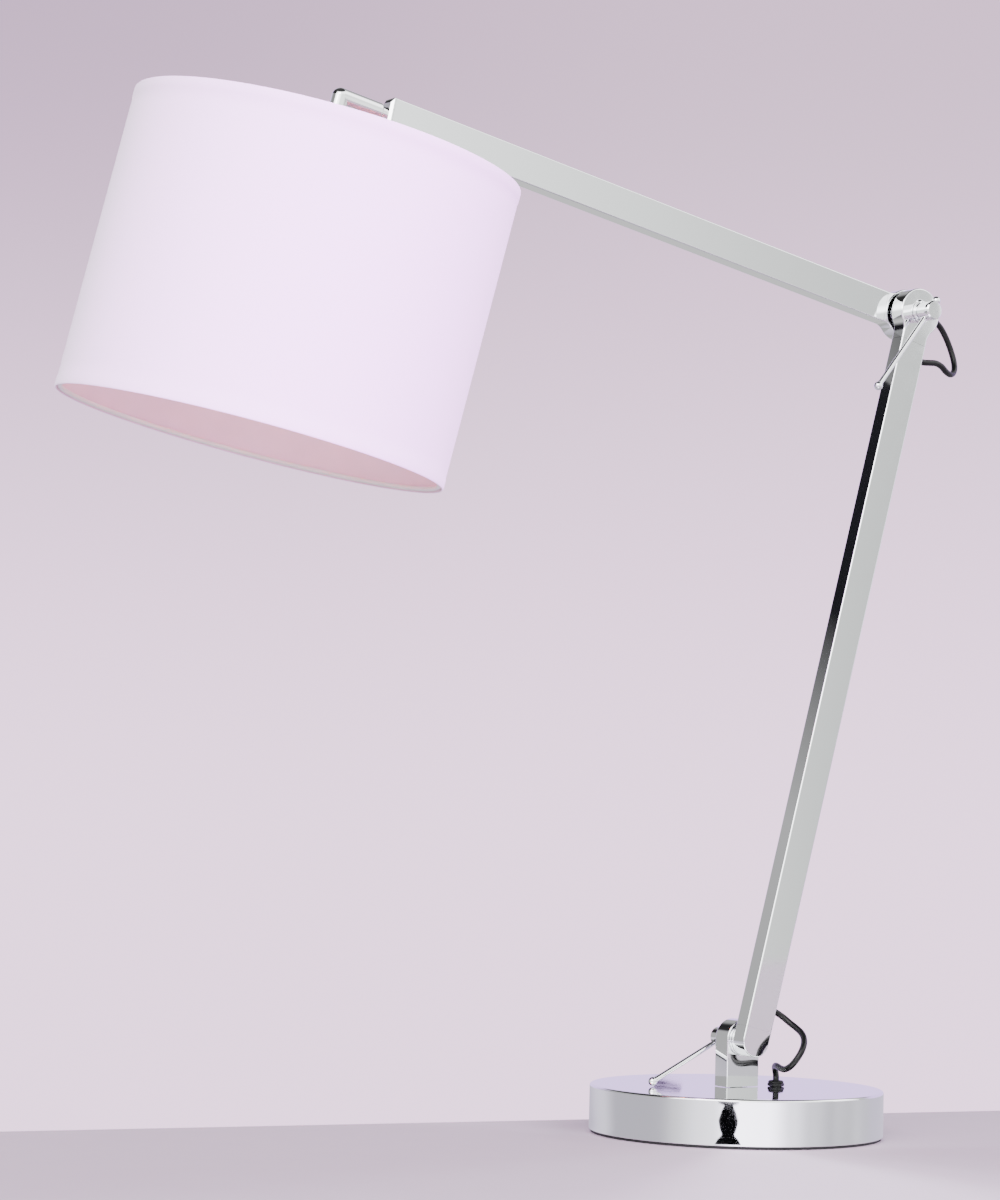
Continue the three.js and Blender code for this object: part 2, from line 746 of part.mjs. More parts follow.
// The lampholder pipe, holder, carrier, shade and bulb, about the shade's axis.
function headAssembly() {
  const start = upperTubeEnd + gap + plugChamfer + 4 - shadeStation;
  const pipeBore = plugNeckRadius + boreGap;
  const holderTop = -(shadeDrop + carrierDrop) + holderAboveCarrier;
  const leg = (profile) => alongX(turned(profile, 24));
  mesh(
    shade,
    "swivel_pipe",
    build({
      join: [
        leg([[0, 0], [pipeRadius, 0], [pipeRadius, -start - 1.4], [pipeBore + 0.5, -start], [0, -start]]),
        new THREE.SphereGeometry(pipeRadius, 24, 16),
        disc(pipeRadius, holderTop - pipeIntoHolder, 0, 24),
      ],
      cut: [
        leg([[0, 0], [pipeBore, 0], [pipeBore, 1 - start], [0, 1 - start]]),
        new THREE.SphereGeometry(pipeBore, 16, 12),
        disc(pipeBore, holderTop - pipeIntoHolder - 1, 0, 16),
      ],
    }),
    chrome,
  );

  const capLow = holderTop - holderCapHeight;
  mesh(
    shade,
    "holder_collar",
    build({
      join: [disc(collarRadius, holderTop + gap, holderTop + gap + collarHeight, 6)],
      cut: [disc(pipeRadius + boreGap, -100, 0, 24)],
    }),
    chrome,
  );
  mesh(
    shade,
    "holder_cap",
    turned(
      [
        [pipeRadius + boreGap, holderTop],
        [collarRadius + 1, holderTop],
        [holderRadius - 2, holderTop - 4],
        [holderRadius, holderTop - 8],
        [holderRadius, capLow],
        [holderRadius - 2, capLow],
        [holderRadius - 2, holderTop - 8],
        [holderRadius - 4, holderTop - 6],
        [pipeRadius + boreGap, holderTop - 2.5],
      ],
      40,
    ),
    white,
  );
  const bodyTop = capLow - gap;
  const bodyLow = bodyTop - holderLength;
  const floor = bodyTop - 6;
  mesh(
    shade,
    "holder_body",
    build({
      join: [disc(holderRadius - 0.6, bodyLow, bodyTop, 40)],
      cut: [disc(socketRadius, bodyLow - 1, floor, 32), disc(2, floor - 1, bodyTop + 1, 12)],
    }),
    white,
  );
  mesh(shade, "holder_contact", disc(3.2, floor - 1.6, floor - gap, 16), brass);

  const hubHigh = capLow - gap;
  const hubLow = hubHigh - carrierPlate;
  const ringRadius = shadeRadius - shadeWall - ringWire - gap;
  const ringTop = -shadeDrop - ringWire - 0.8;
  const hoop = () => new THREE.TorusGeometry(ringRadius, ringWire, 8, 48);
  const inner = holderRadius - 0.6 + gap;
  // Each arm stops short of the hub's rim and of the hoop's wire, which it is welded to.
  const from = new THREE.Vector3(carrierHub + gap + 0.4, 0, (hubLow + hubHigh) / 2);
  const hoopPoint = new THREE.Vector3(ringRadius, 0, ringTop);
  const reach = from.distanceTo(hoopPoint) - ringWire - gap - 0.1;
  const slope = Math.atan2(hoopPoint.x - from.x, hoopPoint.z - from.z);
  for (let i = 0; i < carrierArms; i++) {
    const arm = disc(carrierWire, 0, reach, 10).rotateY(slope).translate(from.x, 0, from.z);
    arm.rotateZ((2 * Math.PI * i) / carrierArms + Math.PI / 6);
    mesh(shade, `carrier_arm_${i + 1}`, arm, white);
  }
  mesh(shade, "carrier_hub", ring(carrierHub, inner, hubLow, hubHigh, 40), white);
  mesh(shade, "carrier_hoop", hoop().translate(0, 0, ringTop), white);
  const shadeLow = -shadeDrop - shadeHeight;
  mesh(shade, "shade_lower_ring", hoop().translate(0, 0, shadeLow + ringWire + 0.8), white);
  const shadeProfile = [
    [shadeRadius - shadeWall, shadeLow],
    [shadeRadius, shadeLow],
    [shadeRadius, -shadeDrop],
    [shadeRadius - shadeWall, -shadeDrop],
  ];
  mesh(shade, "shade_drum", turned(shadeProfile, 72), linen);
  const retainerTop = hubLow - gap;
  mesh(shade, "holder_retainer", ring(retainerRadius, inner, retainerTop - retainerHeight, retainerTop, 40), white);

  const bulbTop = floor - 1.6 - gap;
  const capEnd = bulbTop - bulbCapLength;
  mesh(
    shade,
    "bulb_cap",
    turned([[0, bulbTop], [4, bulbTop], [bulbCapRadius, bulbTop - 6], [bulbCapRadius, capEnd], [0, capEnd]], 32),
    steel,
  );
  const neckTop = capEnd - gap;
  const glassLow = neckTop - bulbLength;
  const centre = glassLow + bulbRadius;
  const steps = 7;
  const outer = [[bulbNeck, neckTop], [bulbNeck, neckTop - 8], [bulbNeck + 4.5, neckTop - 22]];
  for (let i = 0; i <= steps; i++) {
    const a = Math.PI / 9 - (i / steps) * (Math.PI / 9 + Math.PI / 2);
    outer.push([Math.max(bulbRadius * Math.cos(a), 0), centre + bulbRadius * Math.sin(a)]);
  }
  outer[outer.length - 1][0] = 0;
  const innerWall = [];
  for (let i = steps; i >= 0; i--) {
    const a = Math.PI / 9 - (i / steps) * (Math.PI / 9 + Math.PI / 2);
    const r = bulbRadius - bulbWall;
    innerWall.push([Math.max(r * Math.cos(a), 0), centre + r * Math.sin(a)]);
  }
  innerWall[0][0] = 0;
  innerWall.push([bulbNeck + 4.5 - bulbWall, neckTop - 22], [bulbNeck - bulbWall, neckTop - 8], [bulbNeck - bulbWall, neckTop]);
  mesh(shade, "bulb_glass", turned([...outer, ...innerWall], 32), glass);

  const bendRadius = 9;
  const flexStart = start + plugNeckLength - 4 + gap;
  const middle = bendRadius * (1 - Math.SQRT1_2);
  mesh(
    shade,
    "flex_head",
    flex(
      [
        [-flexStart, 0, 0],
        [bendRadius + 3, 0, 0],
        [bendRadius, 0, 0],
        [middle, 0, -middle],
        [0, 0, -bendRadius],
        [0, 0, -bendRadius - 4],
        [0, 0, holderTop - 4],
      ],
      14,
    ),
    black,
  );
}

// Hand-laid route of the flex where it hangs free at each pivot, in the lamp's frame.
function flexLoops() {
  const boss = baseTop + 1;
  mesh(
    lamp,
    "flex_base",
    flex(
      [
        [glandX + 16, glandY, 9],
        [glandX + 10, glandY, 9.3],
        [glandX + 4, glandY, 11.5],
        [glandX + 0.8, glandY, 16],
        [glandX, glandY, 22],
        [glandX, glandY, boss - gap],
      ],
      12,
    ),
    black,
  );
  mesh(
    lamp,
    "flex_base_loop",
    flex(
      [
        [27.0, -9.0, 33.5],
        [27.0, -9.0, 39.7],
        [24.3, -11.2, 44.7],
        [20.9, -15.8, 47.2],
        [18.3, -21.4, 47.4],
        [16.6, -27.2, 46.5],
        [15.8, -33.3, 46.4],
        [16.4, -38.8, 49.1],
        [18.5, -42.2, 53.8],
        [21.8, -42.9, 59.0],
        [25.3, -41.0, 63.6],
        [28.2, -37.1, 67.5],
        [29.9, -32.1, 70.6],
        [30.0, -26.6, 73.4],
        [28.3, -21.4, 76.6],
        [25.0, -17.3, 80.6],
        [20.4, -15.6, 83.6],
        [17.6, -15.6, 84.44],
        [15.2, -15.6, 85.07],
      ],
      32,
    ),
    black,
  );
  mesh(
    lamp,
    "flex_elbow_loop",
    flex(
      [
        [147.4, -1.0, 580.16],
        [153.1, -1.0, 579.0],
        [159.4, -0.7, 577.1],
        [165.3, -0.2, 574.3],
        [170.7, 0.4, 570.6],
        [175.2, 1.0, 565.8],
        [178.7, 1.0, 560.2],
        [181.1, 0.3, 554.1],
        [181.9, -1.5, 547.8],
        [180.5, -4.2, 541.9],
        [176.7, -7.3, 537.5],
        [171.1, -10.3, 535.8],
        [165.1, -12.7, 537.1],
        [159.5, -14.5, 540.0],
        [153.5, -15.6, 541.6],
        [147.0, -15.8, 541.4],
        [141.6, -15.6, 541.2],
        [137.6, -15.6, 541.97],
        [134.9, -15.6, 542.68],
      ],
      36,
    ),
    black,
  );
}

baseAssembly();
basePivot();
lowerArmAssembly();
elbowClamp();
upperArmAssembly();
headAssembly();
flexLoops();

export default lamp;
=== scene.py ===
import bpy
import math
from mathutils import Matrix, Vector


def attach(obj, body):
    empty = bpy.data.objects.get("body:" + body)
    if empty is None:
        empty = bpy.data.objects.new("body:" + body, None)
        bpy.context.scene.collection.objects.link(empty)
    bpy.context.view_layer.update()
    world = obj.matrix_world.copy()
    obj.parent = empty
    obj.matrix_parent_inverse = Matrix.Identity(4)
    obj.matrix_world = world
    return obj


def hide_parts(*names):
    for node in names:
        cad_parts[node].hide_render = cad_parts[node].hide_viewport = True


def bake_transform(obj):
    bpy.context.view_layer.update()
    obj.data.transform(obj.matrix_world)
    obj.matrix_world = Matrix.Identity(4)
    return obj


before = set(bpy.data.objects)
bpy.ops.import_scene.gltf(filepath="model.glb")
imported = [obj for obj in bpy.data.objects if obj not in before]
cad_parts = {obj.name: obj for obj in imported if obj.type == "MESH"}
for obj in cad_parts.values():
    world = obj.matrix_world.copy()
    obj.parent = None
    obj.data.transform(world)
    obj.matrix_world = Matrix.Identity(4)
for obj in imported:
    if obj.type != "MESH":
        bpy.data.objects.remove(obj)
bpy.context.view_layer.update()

mm = 0.001
print("frame loaded:", len(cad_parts), "nodes")


# small helpers
def deselectAll():
    bpy.ops.object.select_all(action="DESELECT")


def activate(obj):
    deselectAll()
    obj.select_set(True)
    bpy.context.view_layer.objects.active = obj


def nameActive(name):
    obj = bpy.context.active_object
    obj.name = name
    obj.data.name = name
    return obj


def editMode(selectAll=True):
    bpy.ops.object.mode_set(mode="EDIT")
    bpy.ops.mesh.select_mode(type="VERT")
    bpy.ops.mesh.select_all(action="SELECT" if selectAll else "DESELECT")


def objectMode():
    bpy.ops.object.mode_set(mode="OBJECT")


def selectEdges(obj, test):
    # test gets an edge's two ends and says whether the edge is wanted
    editMode(selectAll=False)
    bpy.ops.mesh.select_mode(type="EDGE")
    objectMode()
    points = [v.co.copy() for v in obj.data.vertices]
    for edge in obj.data.edges:
        edge.select = test(points[edge.vertices[0]], points[edge.vertices[1]])
    bpy.ops.object.mode_set(mode="EDIT")


def selectFaces(obj, test):
    editMode(selectAll=False)
    bpy.ops.mesh.select_mode(type="FACE")
    objectMode()
    for face in obj.data.polygons:
        face.select = test(face.center, face.normal)
    bpy.ops.object.mode_set(mode="EDIT")


def useModifier(obj, kind, **settings):
    activate(obj)
    modifier = obj.modifiers.new(kind.lower(), kind)
    for key, value in settings.items():
        setattr(modifier, key, value)
    bpy.ops.object.modifier_apply(modifier=modifier.name)


def combine(obj, tool, operation):
    useModifier(obj, "BOOLEAN", operation=operation, solver="EXACT", object=tool)
    bpy.data.objects.remove(tool, do_unlink=True)


def cutWith(obj, tool):
    combine(obj, tool, "DIFFERENCE")


def boxPiece(name, size, centre):
    # a plain block, in millimetres
    deselectAll()
    bpy.ops.mesh.primitive_cube_add(size=1, location=[v * mm for v in centre], scale=[v * mm for v in size])
    obj = nameActive(name)
    bpy.ops.object.transform_apply(location=True, rotation=True, scale=True)
    return obj


def drawChain(name, points):
    # one vertex is led from point to point by extruding it
    deselectAll()
    bpy.ops.mesh.primitive_plane_add(size=0.001)
    obj = nameActive(name)
    editMode()
    bpy.ops.mesh.merge(type="CENTER")
    bpy.ops.transform.translate(value=points[0])
    for before, after in zip(points, points[1:]):
        step = [b - a for a, b in zip(before, after)]
        bpy.ops.mesh.extrude_region_move(TRANSFORM_OT_translate={"value": step})
    return obj


def softCorners(profile, radius, closed, steps=4):
    # rounds each corner of a chain of points; a corner that is too close to its neighbours gets less
    count = len(profile)
    out = []
    for i, (r, z) in enumerate(profile):
        if not closed and i in (0, count - 1):
            out.append((r, z))
            continue
        here = Vector((r, z))
        back = Vector(profile[i - 1]) - here
        ahead = Vector(profile[(i + 1) % count]) - here
        turn = back.angle(ahead, math.pi)
        if radius <= 0 or turn > math.radians(172):
            out.append((r, z))
            continue
        reach = min(radius / math.tan(turn / 2), 0.45 * back.length, 0.45 * ahead.length)
        size = reach * math.tan(turn / 2)
        middle = here + (back.normalized() + ahead.normalized()).normalized() * (size / math.sin(turn / 2))
        start = here + back.normalized() * reach - middle
        end = here + ahead.normalized() * reach - middle
        for k in range(steps + 1):
            spoke = start.lerp(end, k / steps).normalized() * size
            out.append(tuple(middle + spoke))
    return out


def turnPiece(name, profile, radius=0.3, segments=64, closed=True, steps=3):
    # a lathe profile of (radius, height) in millimetres, spun about Z
    outline = softCorners(profile, radius, closed, steps)
    if closed:
        outline.append(outline[0])
    obj = drawChain(name, [(max(r, 0) * mm, 0, z * mm) for r, z in outline])
    bpy.ops.mesh.select_all(action="SELECT")
    bpy.ops.mesh.spin(steps=segments, angle=2 * math.pi, center=(0, 0, 0), axis=(0, 0, 1))
    bpy.ops.mesh.select_all(action="SELECT")
    bpy.ops.mesh.remove_doubles(threshold=0.002 * mm)
    bpy.ops.mesh.dissolve_degenerate(threshold=0.001 * mm)
    bpy.ops.mesh.normals_make_consistent(inside=False)
    objectMode()
    return obj


def platePiece(name, outline, thickness, rim):
    # an outline of (x, z) in millimetres, made a plate centred on y = 0 with rounded rims;
    # the rim of its first and last points, where a tube or the base meets it, stays sharp
    obj = drawChain(name, [(x * mm, -thickness / 2 * mm, z * mm) for x, z in outline])
    bpy.ops.mesh.select_all(action="SELECT")
    bpy.ops.mesh.edge_face_add()
    bpy.ops.mesh.extrude_region_move(TRANSFORM_OT_translate={"value": (0, thickness * mm, 0)})
    bpy.ops.mesh.select_all(action="SELECT")
    bpy.ops.mesh.normals_make_consistent(inside=False)
    objectMode()
    half = thickness / 2 * mm * 0.99
    neck = outline[0][1] * mm
    selectEdges(
        obj,
        lambda a, b: abs(a.y) > half and a.y * b.y > 0 and max(abs(a.z - neck), abs(b.z - neck)) > 0.01 * mm,
    )
    bpy.ops.mesh.bevel(offset=rim * mm, segments=3, affect="EDGES", clamp_overlap=True)
    objectMode()
    return obj


def rodTool(radius, start, end, segments=48):
    # a plain cylinder from start to end, in millimetres, to cut a bore with
    deselectAll()
    start, end = Vector(start) * mm, Vector(end) * mm
    bpy.ops.mesh.primitive_cylinder_add(
        vertices=segments, radius=radius * mm, depth=(end - start).length, location=(start + end) / 2
    )
    tool = nameActive("boreTool")
    tool.rotation_mode = "QUATERNION"
    tool.rotation_quaternion = (end - start).to_track_quat("Z", "Y")
    return tool


def finishPiece(obj, material, slot, body=None, place=None, nodes=(), angle=32, weighted=True, lining=None):
    # puts the piece in its place in the lamp, smooths it and ties it to its body
    activate(obj)
    if place is not None:
        obj.matrix_world = place @ obj.matrix_world
    bpy.ops.object.transform_apply(location=True, rotation=True, scale=True)
    bpy.ops.object.shade_smooth_by_angle(angle=math.radians(angle))
    if weighted:
        useModifier(obj, "WEIGHTED_NORMAL", keep_sharp=True, weight=80)
    obj.data.materials.clear()
    obj.data.materials.append(material)
    if lining is not None:
        obj.data.materials.append(lining)
    if body:
        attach(obj, body)
    if nodes:
        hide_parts(*nodes)
    return obj


def arcPoints(cx, cz, radius, start, end, steps):
    # points on an arc, angles in degrees from +x towards +z
    turns = [math.radians(start + (end - start) * k / steps) for k in range(steps + 1)]
    return [(cx + radius * math.cos(t), cz + radius * math.sin(t)) for t in turns]


# camera
cameraPlace = {
    "lens": 99.27,
    "place": (-1.38517, -1.81055, 0.22538),
    "right": (0.8361303, -0.54795702, 0.02508423),
    "up": (-0.05352849, -0.03599701, 0.99791729),
    "ahead": (0.54591283, 0.83573161, 0.05942951),
}
deselectAll()
bpy.ops.object.camera_add(location=cameraPlace["place"])
camera = nameActive("camera")
camera.data.lens = cameraPlace["lens"]
camera.data.sensor_width = 36
camera.data.clip_start = 0.05
camera.data.clip_end = 50
turnColumns = Matrix((cameraPlace["right"], cameraPlace["up"], -Vector(cameraPlace["ahead"]))).transposed()
camera.rotation_mode = "QUATERNION"
camera.rotation_quaternion = turnColumns.to_quaternion()
bpy.context.scene.camera = camera
print("camera set")


# materials
def hexColour(text):
    # sRGB hex to linear
    parts = [int(text[i : i + 2], 16) / 255 for i in (0, 2, 4)]
    return tuple(c / 12.92 if c <= 0.04045 else ((c + 0.055) / 1.055) ** 2.4 for c in parts) + (1.0,)


def addNode(tree, kind, values=None, links=None, **settings):
    node = tree.nodes.new(kind)
    for key, value in settings.items():
        setattr(node, key, value)
    for socket, value in (values or {}).items():
        node.inputs[socket].default_value = value
    for socket, source in (links or {}).items():
        tree.links.new(source, node.inputs[socket])
    return node


def startMaterial(name, source="Object"):
    material = bpy.data.materials.new(name)
    material.use_nodes = True
    tree = material.node_tree
    tree.nodes.clear()
    shader = addNode(tree, "ShaderNodeBsdfPrincipled")
    addNode(tree, "ShaderNodeOutputMaterial", links={"Surface": shader.outputs["BSDF"]})
    coords = addNode(tree, "ShaderNodeTexCoord")
    return material, tree, shader, coords.outputs[source]


# A pattern of size s millimetres has a scale of 1000 / s, because object coordinates are in metres.
def perMm(size):
    return 1000.0 / size


def noiseOf(tree, where, size, detail):
    node = addNode(tree, "ShaderNodeTexNoise", {"Scale": perMm(size), "Detail": detail}, {"Vector": where})
    return node.outputs["Fac"]


def spread(tree, source, start, end, low=0.0, high=1.0):
    # the source's values from low to high are laid out from start to end
    values = {"From Min": low, "From Max": high, "To Min": start, "To Max": end}
    return addNode(tree, "ShaderNodeMapRange", values, {"Value": source}).outputs["Result"]


def tinted(tree, first, second, share):
    values = {"A": hexColour(first), "B": hexColour(second)}
    node = addNode(tree, "ShaderNodeMix", values, {"Factor": share}, data_type="RGBA")
    return node.outputs["Result"]


def mathOf(tree, operation, first, second=None):
    # each of the two is an output or a number
    node = addNode(tree, "ShaderNodeMath", operation=operation)
    for socket, value in enumerate((first, second)):
        if isinstance(value, (int, float)):
            node.inputs[socket].default_value = value
        elif value is not None:
            tree.links.new(value, node.inputs[socket])
    return node.outputs[0]


def addBump(tree, shader, height, strength, depth):
    bump = addNode(tree, "ShaderNodeBump", {"Strength": strength, "Distance": depth}, {"Height": height})
    tree.links.new(bump.outputs["Normal"], shader.inputs["Normal"])


def polishedChrome():
    # bright nickel-chrome plate, buffed before plating: a cool mirror, a hair of waviness and wiping haze
    look = {"colour": "E9EAEC", "roughness": 0.035, "haze": 0.03, "hazeMm": 9, "waveMm": 26, "wave": 0.00006}
    material, tree, shader, spot = startMaterial("polishedChrome")
    shader.inputs["Metallic"].default_value = 1.0
    shader.inputs["Base Color"].default_value = hexColour(look["colour"])
    haze = noiseOf(tree, spot, look["hazeMm"], 5.0)
    rough = spread(tree, haze, look["roughness"], look["roughness"] + look["haze"], 0.35, 0.75)
    tree.links.new(rough, shader.inputs["Roughness"])
    addBump(tree, shader, noiseOf(tree, spot, look["waveMm"], 1.0), 0.12, look["wave"])
    return material


def zincSteel(name="zincPlatedSteel", colour="A6A7AA"):
    # rolled sheet and screws with clear zinc: grey, dull, with a spangle of about 4 mm
    look = {"dark": "8E9094", "spangleMm": 4, "grainMm": 1.2, "roughness": (0.28, 0.48)}
    material, tree, shader, spot = startMaterial(name)
    shader.inputs["Metallic"].default_value = 1.0
    spangle = addNode(tree, "ShaderNodeTexVoronoi", {"Scale": perMm(look["spangleMm"])}, {"Vector": spot})
    tint = tinted(tree, colour, look["dark"], spangle.outputs["Distance"])
    tree.links.new(tint, shader.inputs["Base Color"])
    rough = spread(tree, noiseOf(tree, spot, look["grainMm"], 6.0), *look["roughness"])
    tree.links.new(rough, shader.inputs["Roughness"])
    return material


def castIron():
    # grey iron as cast in sand: dark, rough, 1.5 mm grain
    look = {"dark": "3A3A3C", "light": "5B5856", "grainMm": 1.5, "depth": 0.0003}
    material, tree, shader, spot = startMaterial("castIron")
    shader.inputs["Metallic"].default_value = 0.7
    shader.inputs["Roughness"].default_value = 0.7
    grain = noiseOf(tree, spot, look["grainMm"], 8.0)
    tree.links.new(tinted(tree, look["dark"], look["light"], grain), shader.inputs["Base Color"])
    addBump(tree, shader, grain, 0.5, look["depth"])
    return material


def mouldedPlastic(name, colour, roughness, sparkMm, depth, shine=0.5):
    # injection moulding: even colour with faint flow marks about 18 mm wide and a spark-eroded grain
    look = {"flowMm": 18, "flow": (0.93, 1.07), "unevenness": 0.06}
    material, tree, shader, spot = startMaterial(name)
    shader.inputs["Specular IOR Level"].default_value = shine
    flow = spread(tree, noiseOf(tree, spot, look["flowMm"], 2.0), *look["flow"])
    tint = addNode(tree, "ShaderNodeHueSaturation", {"Color": hexColour(colour)}, {"Value": flow})
    tree.links.new(tint.outputs["Color"], shader.inputs["Base Color"])
    grain = noiseOf(tree, spot, sparkMm, 4.0)
    rough = spread(tree, grain, roughness - look["unevenness"], roughness + look["unevenness"])
    tree.links.new(rough, shader.inputs["Roughness"])
    addBump(tree, shader, grain, 0.3, depth)
    return material


def linenCloth(name, colour, shadow, glow, threadMm):
    # plain woven linen: uneven slubby threads across and along, soft, with a painted glow standing in for
    # bulb light through it;
    # its map is in metres of cloth, and threads are drawn at about twice their real 0.4 mm so they show
    look = {"wanderMm": 7, "wander": 0.0005, "slubMm": (60, 1.1), "relief": 0.35, "depth": 0.00025}
    material, tree, shader, cloth = startMaterial(name, "UV")
    split = addNode(tree, "ShaderNodeSeparateXYZ", links={"Vector": cloth})
    push = spread(tree, noiseOf(tree, cloth, look["wanderMm"], 2.0), -look["wander"], look["wander"])
    waves = []
    for axis in ("X", "Y"):
        moved = mathOf(tree, "ADD", split.outputs[axis], push)
        waves.append(mathOf(tree, "SINE", mathOf(tree, "MULTIPLY", moved, 2 * math.pi * perMm(threadMm))))
    weave = mathOf(tree, "MULTIPLY", *waves)
    # slubs: long thin streaks along each thread direction
    longScale, thinScale = (perMm(size) for size in look["slubMm"])
    streaks = []
    for stretch in ((longScale, thinScale, 1), (thinScale, longScale, 1)):
        laid = addNode(tree, "ShaderNodeMapping", {"Scale": stretch}, {"Vector": cloth}).outputs["Vector"]
        streak = addNode(tree, "ShaderNodeTexNoise", {"Scale": 1.0, "Detail": 3.0}, {"Vector": laid})
        streaks.append(streak.outputs["Fac"])
    slub = mathOf(tree, "ADD", *streaks)
    level = spread(tree, slub, 0.0, 1.0, 0.7, 1.35)
    tree.links.new(tinted(tree, shadow, colour, level), shader.inputs["Base Color"])
    shader.inputs["Roughness"].default_value = 0.95
    shader.inputs["Specular IOR Level"].default_value = 0.2
    shader.inputs["Sheen Weight"].default_value = 0.25
    shader.inputs["Sheen Roughness"].default_value = 0.6
    relief = mathOf(tree, "ADD", mathOf(tree, "MULTIPLY", weave, look["relief"]), slub)
    addBump(tree, shader, relief, 0.5, look["depth"])
    # painted glow: this emission stands in for the bulb's light shining through the cloth
    shader.inputs["Emission Color"].default_value = hexColour(glow[0])
    shader.inputs["Emission Strength"].default_value = glow[1]
    return material


def sheathPvc():
    # round PVC flex straight from the extruder: black, half gloss, with a slow unevenness along it
    look = {"colour": "0B0B0D", "dragMm": 3, "roughness": (0.27, 0.42), "depth": 0.0001}
    material, tree, shader, spot = startMaterial("flexSheath")
    shader.inputs["Base Color"].default_value = hexColour(look["colour"])
    shader.inputs["Specular IOR Level"].default_value = 0.22
    drag = noiseOf(tree, spot, look["dragMm"], 3.0)
    tree.links.new(spread(tree, drag, *look["roughness"]), shader.inputs["Roughness"])
    addBump(tree, shader, drag, 0.15, look["depth"])
    return material


def frostedGlass():
    # bulb of soda glass, etched inside: milky, softly lit
    look = {"colour": "FBF4EC", "powderMm": 2, "roughness": (0.3, 0.45), "glow": "FFC7AE"}
    material, tree, shader, spot = startMaterial("frostedBulb")
    powder = noiseOf(tree, spot, look["powderMm"], 4.0)
    tree.links.new(spread(tree, powder, *look["roughness"]), shader.inputs["Roughness"])
    shader.inputs["Base Color"].default_value = hexColour(look["colour"])
    shader.inputs["Transmission Weight"].default_value = 0.35
    shader.inputs["Emission Color"].default_value = hexColour(look["glow"])
    shader.inputs["Emission Strength"].default_value = 1.2
    return material


chrome = polishedChrome()
zinc = zincSteel()
nickel = zincSteel("nickelPlatedCap", "C2BFBA")
iron = castIron()
rubber = mouldedPlastic("siliconeRubber", "1B1A1D", 0.75, 0.8, 0.00008)
nylon = mouldedPlastic("blackNylon", "101012", 0.45, 0.6, 0.00005, 0.2)
porcelain = mouldedPlastic("whiteThermoset", "EFECE6", 0.3, 1.0, 0.00003)
wirePaint = mouldedPlastic("whitePowderCoat", "EDEAE6", 0.4, 0.9, 0.00006)
# the glow given here is painted light, standing in for the lit bulb behind the cloth
linen = linenCloth("whiteLinen", "FAF0FC", "EADCEE", ("EFA0FF", 0.55), 0.9)
# the lining's pink is partly painted warm glow from the bulb; the styrene itself is white
lining = mouldedPlastic("styreneLining", "F5CFE2", 0.5, 1.4, 0.00003)
sheath = sheathPvc()
bulbGlass = frostedGlass()
brass = zincSteel("contactBrass", "C9A35A")
print("materials made")

# the arms' frames; stations are distances up an arm from its pivot
arms = {
    "pivot": (0.0, -15.6, 64.75),
    "lean": 14.64,
    "lowerLength": 528.0,
    "offset": 14.6,
    "fold": 93.36,
    "shadeStation": 477.0,
    "roll": 6.7,
    "width": 22.0,
    "thickness": 12.0,
    "wall": 1.2,
    "corner": 0.9,
    "holes": (23.5, 496.5),
    "screwBore": 4.0,
    "flexBore": 2.5,
}


def shift(x, y, z):
    return Matrix.Translation((x * mm, y * mm, z * mm))


def spinAbout(axis, degrees):
    return Matrix.Rotation(math.radians(degrees), 4, axis)


lowerFrame = shift(*arms["pivot"]) @ spinAbout("Y", arms["lean"])
elbowFrame = lowerFrame @ shift(0, arms["offset"], arms["lowerLength"])
upperFrame = elbowFrame @ spinAbout("Y", -arms["fold"])
headFrame = upperFrame @ shift(0, 0, arms["shadeStation"]) @ spinAbout("Z", -arms["roll"])
shadeFrame = headFrame @ spinAbout("Y", 90)
# a piece turned about Z is laid along Y by this
alongY = spinAbout("X", -90)
alongX = spinAbout("Y", 90)

# flex: the cord comes first
flex = {"diameter": 4.4, "sides": 20, "ring": 1.1}

baseLoopRoute = [
    (27.0, -9.0, 33.5), (27.0, -9.0, 39.7), (24.3, -11.2, 44.7), (20.9, -15.8, 47.2), (18.3, -21.4, 47.4),
    (16.6, -27.2, 46.5), (15.8, -33.3, 46.4), (16.4, -38.8, 49.1), (18.5, -42.2, 53.8), (21.8, -42.9, 59.0),
    (25.3, -41.0, 63.6), (28.2, -37.1, 67.5), (29.9, -32.1, 70.6), (30.0, -26.6, 73.4), (28.3, -21.4, 76.6),
    (25.0, -17.3, 80.6), (20.4, -15.6, 83.6), (17.6, -15.6, 84.44), (15.2, -15.6, 85.07),
]
elbowLoopRoute = [
    (147.4, -1.0, 580.16), (153.1, -1.0, 579.0), (159.4, -0.7, 577.1), (165.3, -0.2, 574.3),
    (170.7, 0.4, 570.6), (175.2, 1.0, 565.8), (178.7, 1.0, 560.2), (181.1, 0.3, 554.1),
    (181.9, -1.5, 547.8), (180.5, -4.2, 541.9),
    (176.7, -7.3, 537.5), (171.1, -10.3, 535.8), (165.1, -12.7, 537.1), (159.5, -14.5, 540.0),
    (153.5, -15.6, 541.6), (147.0, -15.8, 541.4), (141.6, -15.6, 541.2), (137.6, -15.6, 541.97),
    (134.9, -15.6, 542.68),
]


